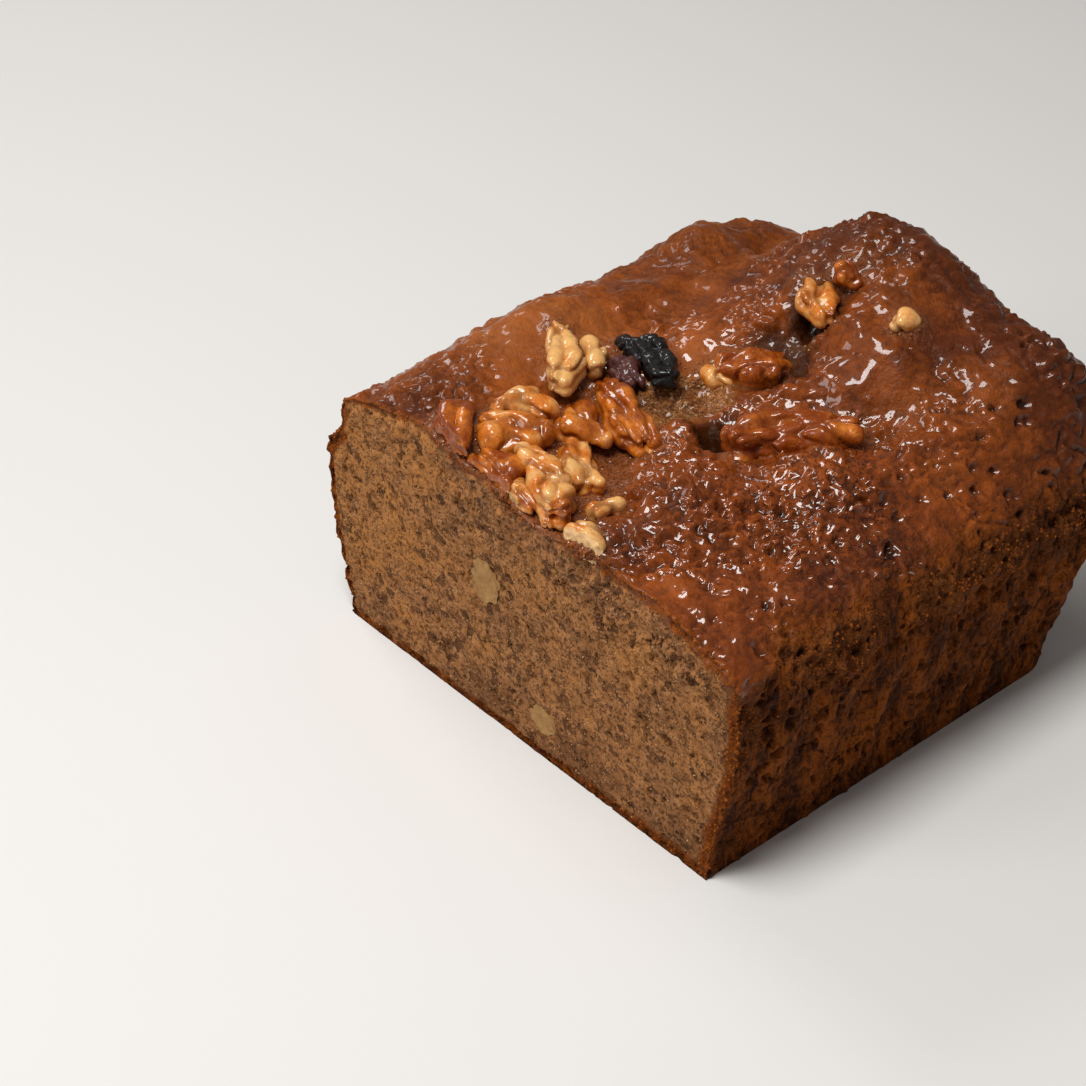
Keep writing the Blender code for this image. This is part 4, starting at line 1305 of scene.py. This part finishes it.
def scatterTree():
    tree = bpy.data.node_groups.new("scatter_bits", "GeometryNodeTree")
    given = {}
    for label, kind in (
        ("Surface", "Geometry"), ("Mask", "String"), ("Density", "Float"), ("Smallest", "Float"),
        ("Largest", "Float"), ("Roundness", "Int"), ("Seed", "Int"), ("Finish", "Material"),
    ):
        kind = "NodeSocket" + kind
        given[label] = tree.interface.new_socket(name=label, in_out="INPUT", socket_type=kind).identifier
    tree.interface.new_socket(name="Bits", in_out="OUTPUT", socket_type="NodeSocketGeometry")
    source = tree.nodes.new("NodeGroupInput").outputs
    share = addNode(tree, "GeometryNodeInputNamedAttribute", {"Name": source["Mask"]}, data_type="FLOAT")
    share = calc(tree, "POWER", share.outputs["Attribute"], bitRule["gather"])
    dense = calc(tree, "MULTIPLY", source["Density"], share)
    points = addNode(
        tree, "GeometryNodeDistributePointsOnFaces",
        {"Mesh": source["Surface"], "Density": dense, "Seed": source["Seed"]},
    )
    bit = addNode(tree, "GeometryNodeMeshIcoSphere", {"Radius": 1.0, "Subdivisions": source["Roundness"]})
    turn = addNode(
        tree, "FunctionNodeRandomValue", {0: (0, 0, 0), 1: bitRule["turn"], "Seed": source["Seed"]},
        data_type="FLOAT_VECTOR",
    )
    wide = addNode(
        tree, "FunctionNodeRandomValue", {0: bitRule["slimmest"], 1: (1, 1, 1), "Seed": source["Seed"]},
        data_type="FLOAT_VECTOR",
    )
    inputs = {2: source["Smallest"], 3: source["Largest"], "Seed": source["Seed"]}
    size = addNode(tree, "FunctionNodeRandomValue", inputs)
    grown = addNode(
        tree, "ShaderNodeVectorMath", {0: wide.outputs[0], "Scale": size.outputs[1]}, operation="SCALE"
    )
    inputs = {
        "Points": points.outputs[0], "Instance": bit.outputs[0],
        "Rotation": turn.outputs[0], "Scale": grown.outputs[0],
    }
    placed = addNode(tree, "GeometryNodeInstanceOnPoints", inputs)
    real = addNode(tree, "GeometryNodeRealizeInstances", {0: placed.outputs[0]})
    inputs = {"Geometry": real.outputs[0], "Material": source["Finish"]}
    painted = addNode(tree, "GeometryNodeSetMaterial", inputs)
    tree.links.new(painted.outputs[0], tree.nodes.new("NodeGroupOutput").inputs[0])
    return tree, given


scatter, scatterInputs = scatterTree()


def scatterOn(source, name, finish, values):
    piece = addObject(name, source.data.copy())
    added = piece.modifiers.new("scatter", "NODES")
    added.node_group = scatter
    for label, value in dict(values, Finish=finish).items():
        added[scatterInputs[label]] = value
    applyModifiers(piece)
    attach(piece, "root")
    print(name + ":", len(piece.data.polygons), "faces")


def crumbMaterial(name, dark, light):
    made, tree, shader, place = newMaterial(name, **{"Roughness": 0.8, "Specular IOR Level": 0.15})
    cloud = pattern(tree, mottle, place, dict(Broad=500.0, Fine=2000.0, Contrast=2.5))[0]
    tree.links.new(tint(tree, cloud, dark, light), shader.inputs["Base Color"])
    return made


def glazeMaterial():
    made, tree, shader, place = newMaterial("glaze_bead", **{"Roughness": 0.15, "Coat Weight": 1.0})
    cloud = pattern(tree, mottle, place, dict(Broad=300.0, Fine=1200.0, Contrast=2.0))[0]
    tree.links.new(tint(tree, cloud, crustLook["brown"], crustLook["amber"]), shader.inputs["Base Color"])
    return made


bitSkins = dict(
    pale=crumbMaterial("pale_crumb", crustLook["crumbDark"], crustLook["fibre"]),
    baked=crumbMaterial("baked_crumb", crustLook["sideWarm"], crustLook["rind"]),
    glaze=glazeMaterial(),
)

# Finish, mask, bits in a square metre, smallest and largest radius, roundness and seed
looseBits = {
    "crumbs_on_cut": ("pale", "crumb", 420000.0, 0.00010, 0.00030, 1, 3),
    "crumbs_on_rim": ("baked", "rind", 900000.0, 0.00015, 0.00045, 1, 6),
    "crumbs_in_crack": ("pale", "torn", 700000.0, 0.00015, 0.00050, 1, 4),
    "crumbs_under_lip": ("baked", "ledge", 500000.0, 0.00015, 0.00045, 1, 5),
    "glaze_beads": ("glaze", "sticky", 900000.0, 0.00015, 0.00045, 2, 7),
}
bitLabels = ("Mask", "Density", "Smallest", "Largest", "Roundness", "Seed")
for name, (finish, *values) in looseBits.items():
    scatterOn(loaf, name, bitSkins[finish], dict(zip(bitLabels, values)))


# Floor, light and camera

studio = dict(
    floor=(0.80, 0.78, 0.75, 1), floorShade=0.96, floorSize=6.0,
    clouds=dict(Broad=4.0, Fine=40.0, Contrast=0.25),
    sky=(1.0, 0.98, 0.96, 1), skyStrength=0.17, aim=(0.0, 0.0, 0.035),
    # azimuth round the loaf from the camera's side, height angle, distance, size, watts
    lamps=[
        ("overhead", -45, 70, 0.75, 0.30, 4.4),
        ("behind_left", -140, 40, 0.80, 0.24, 1.2),
        ("front_left", -68, 28, 0.90, 0.34, 1.6),
    ],
)


def buildStudio():
    bpy.ops.mesh.primitive_plane_add(size=studio["floorSize"])
    floor = bpy.context.object
    floor.name = "floor"
    made, tree, shader, place = newMaterial("pale_floor", Roughness=0.75)
    cloud = pattern(tree, mottle, place, studio["clouds"])[0]
    shade = tuple(studio["floorShade"] * c for c in studio["floor"][:3]) + (1,)
    tree.links.new(tint(tree, cloud, shade, studio["floor"]), shader.inputs["Base Color"])
    floor.data.materials.append(made)
    world = bpy.data.worlds.new("soft_sky")
    world.use_nodes = True
    background = world.node_tree.nodes["Background"]
    background.inputs["Color"].default_value = studio["sky"]
    background.inputs["Strength"].default_value = studio["skyStrength"]
    bpy.context.scene.world = world
    for name, azimuth, height, distance, size, watts in studio["lamps"]:
        lamp = bpy.data.lights.new(name, "AREA")
        lamp.shape = "DISK"
        lamp.size = size
        lamp.energy = watts
        obj = bpy.data.objects.new(name, lamp)
        bpy.context.scene.collection.objects.link(obj)
        turn, lift = math.radians(cameraSpec["azimuth"] + azimuth), math.radians(height)
        way = Vector((math.sin(turn) * math.cos(lift), -math.cos(turn) * math.cos(lift), math.sin(lift)))
        obj.location = Vector(studio["aim"]) + way * distance
        obj.rotation_euler = (-way).to_track_quat("-Z", "Y").to_euler()


cameraSpec = dict(
    place=(0.31048, -0.31992, 0.35565), azimuth=49.166, elevation=37.041, roll=-0.372, lens=89.27,
)


def buildCamera():
    data = bpy.data.cameras.new("photo_view")
    data.lens = cameraSpec["lens"]
    data.sensor_width = 36.0
    data.clip_start = 0.01
    camera = bpy.data.objects.new("photo_view", data)
    bpy.context.scene.collection.objects.link(camera)
    turn = Matrix.Rotation(math.radians(cameraSpec["azimuth"]), 4, "Z")
    tip = Matrix.Rotation(math.radians(90.0 - cameraSpec["elevation"]), 4, "X")
    roll = Matrix.Rotation(math.radians(cameraSpec["roll"]), 4, "Z")
    camera.matrix_world = Matrix.Translation(cameraSpec["place"]) @ turn @ tip @ roll
    bpy.context.scene.camera = camera


buildStudio()
buildCamera()
bpy.context.scene.view_settings.view_transform = "Standard"
print("studio ready")

bpy.context.view_layer.update()
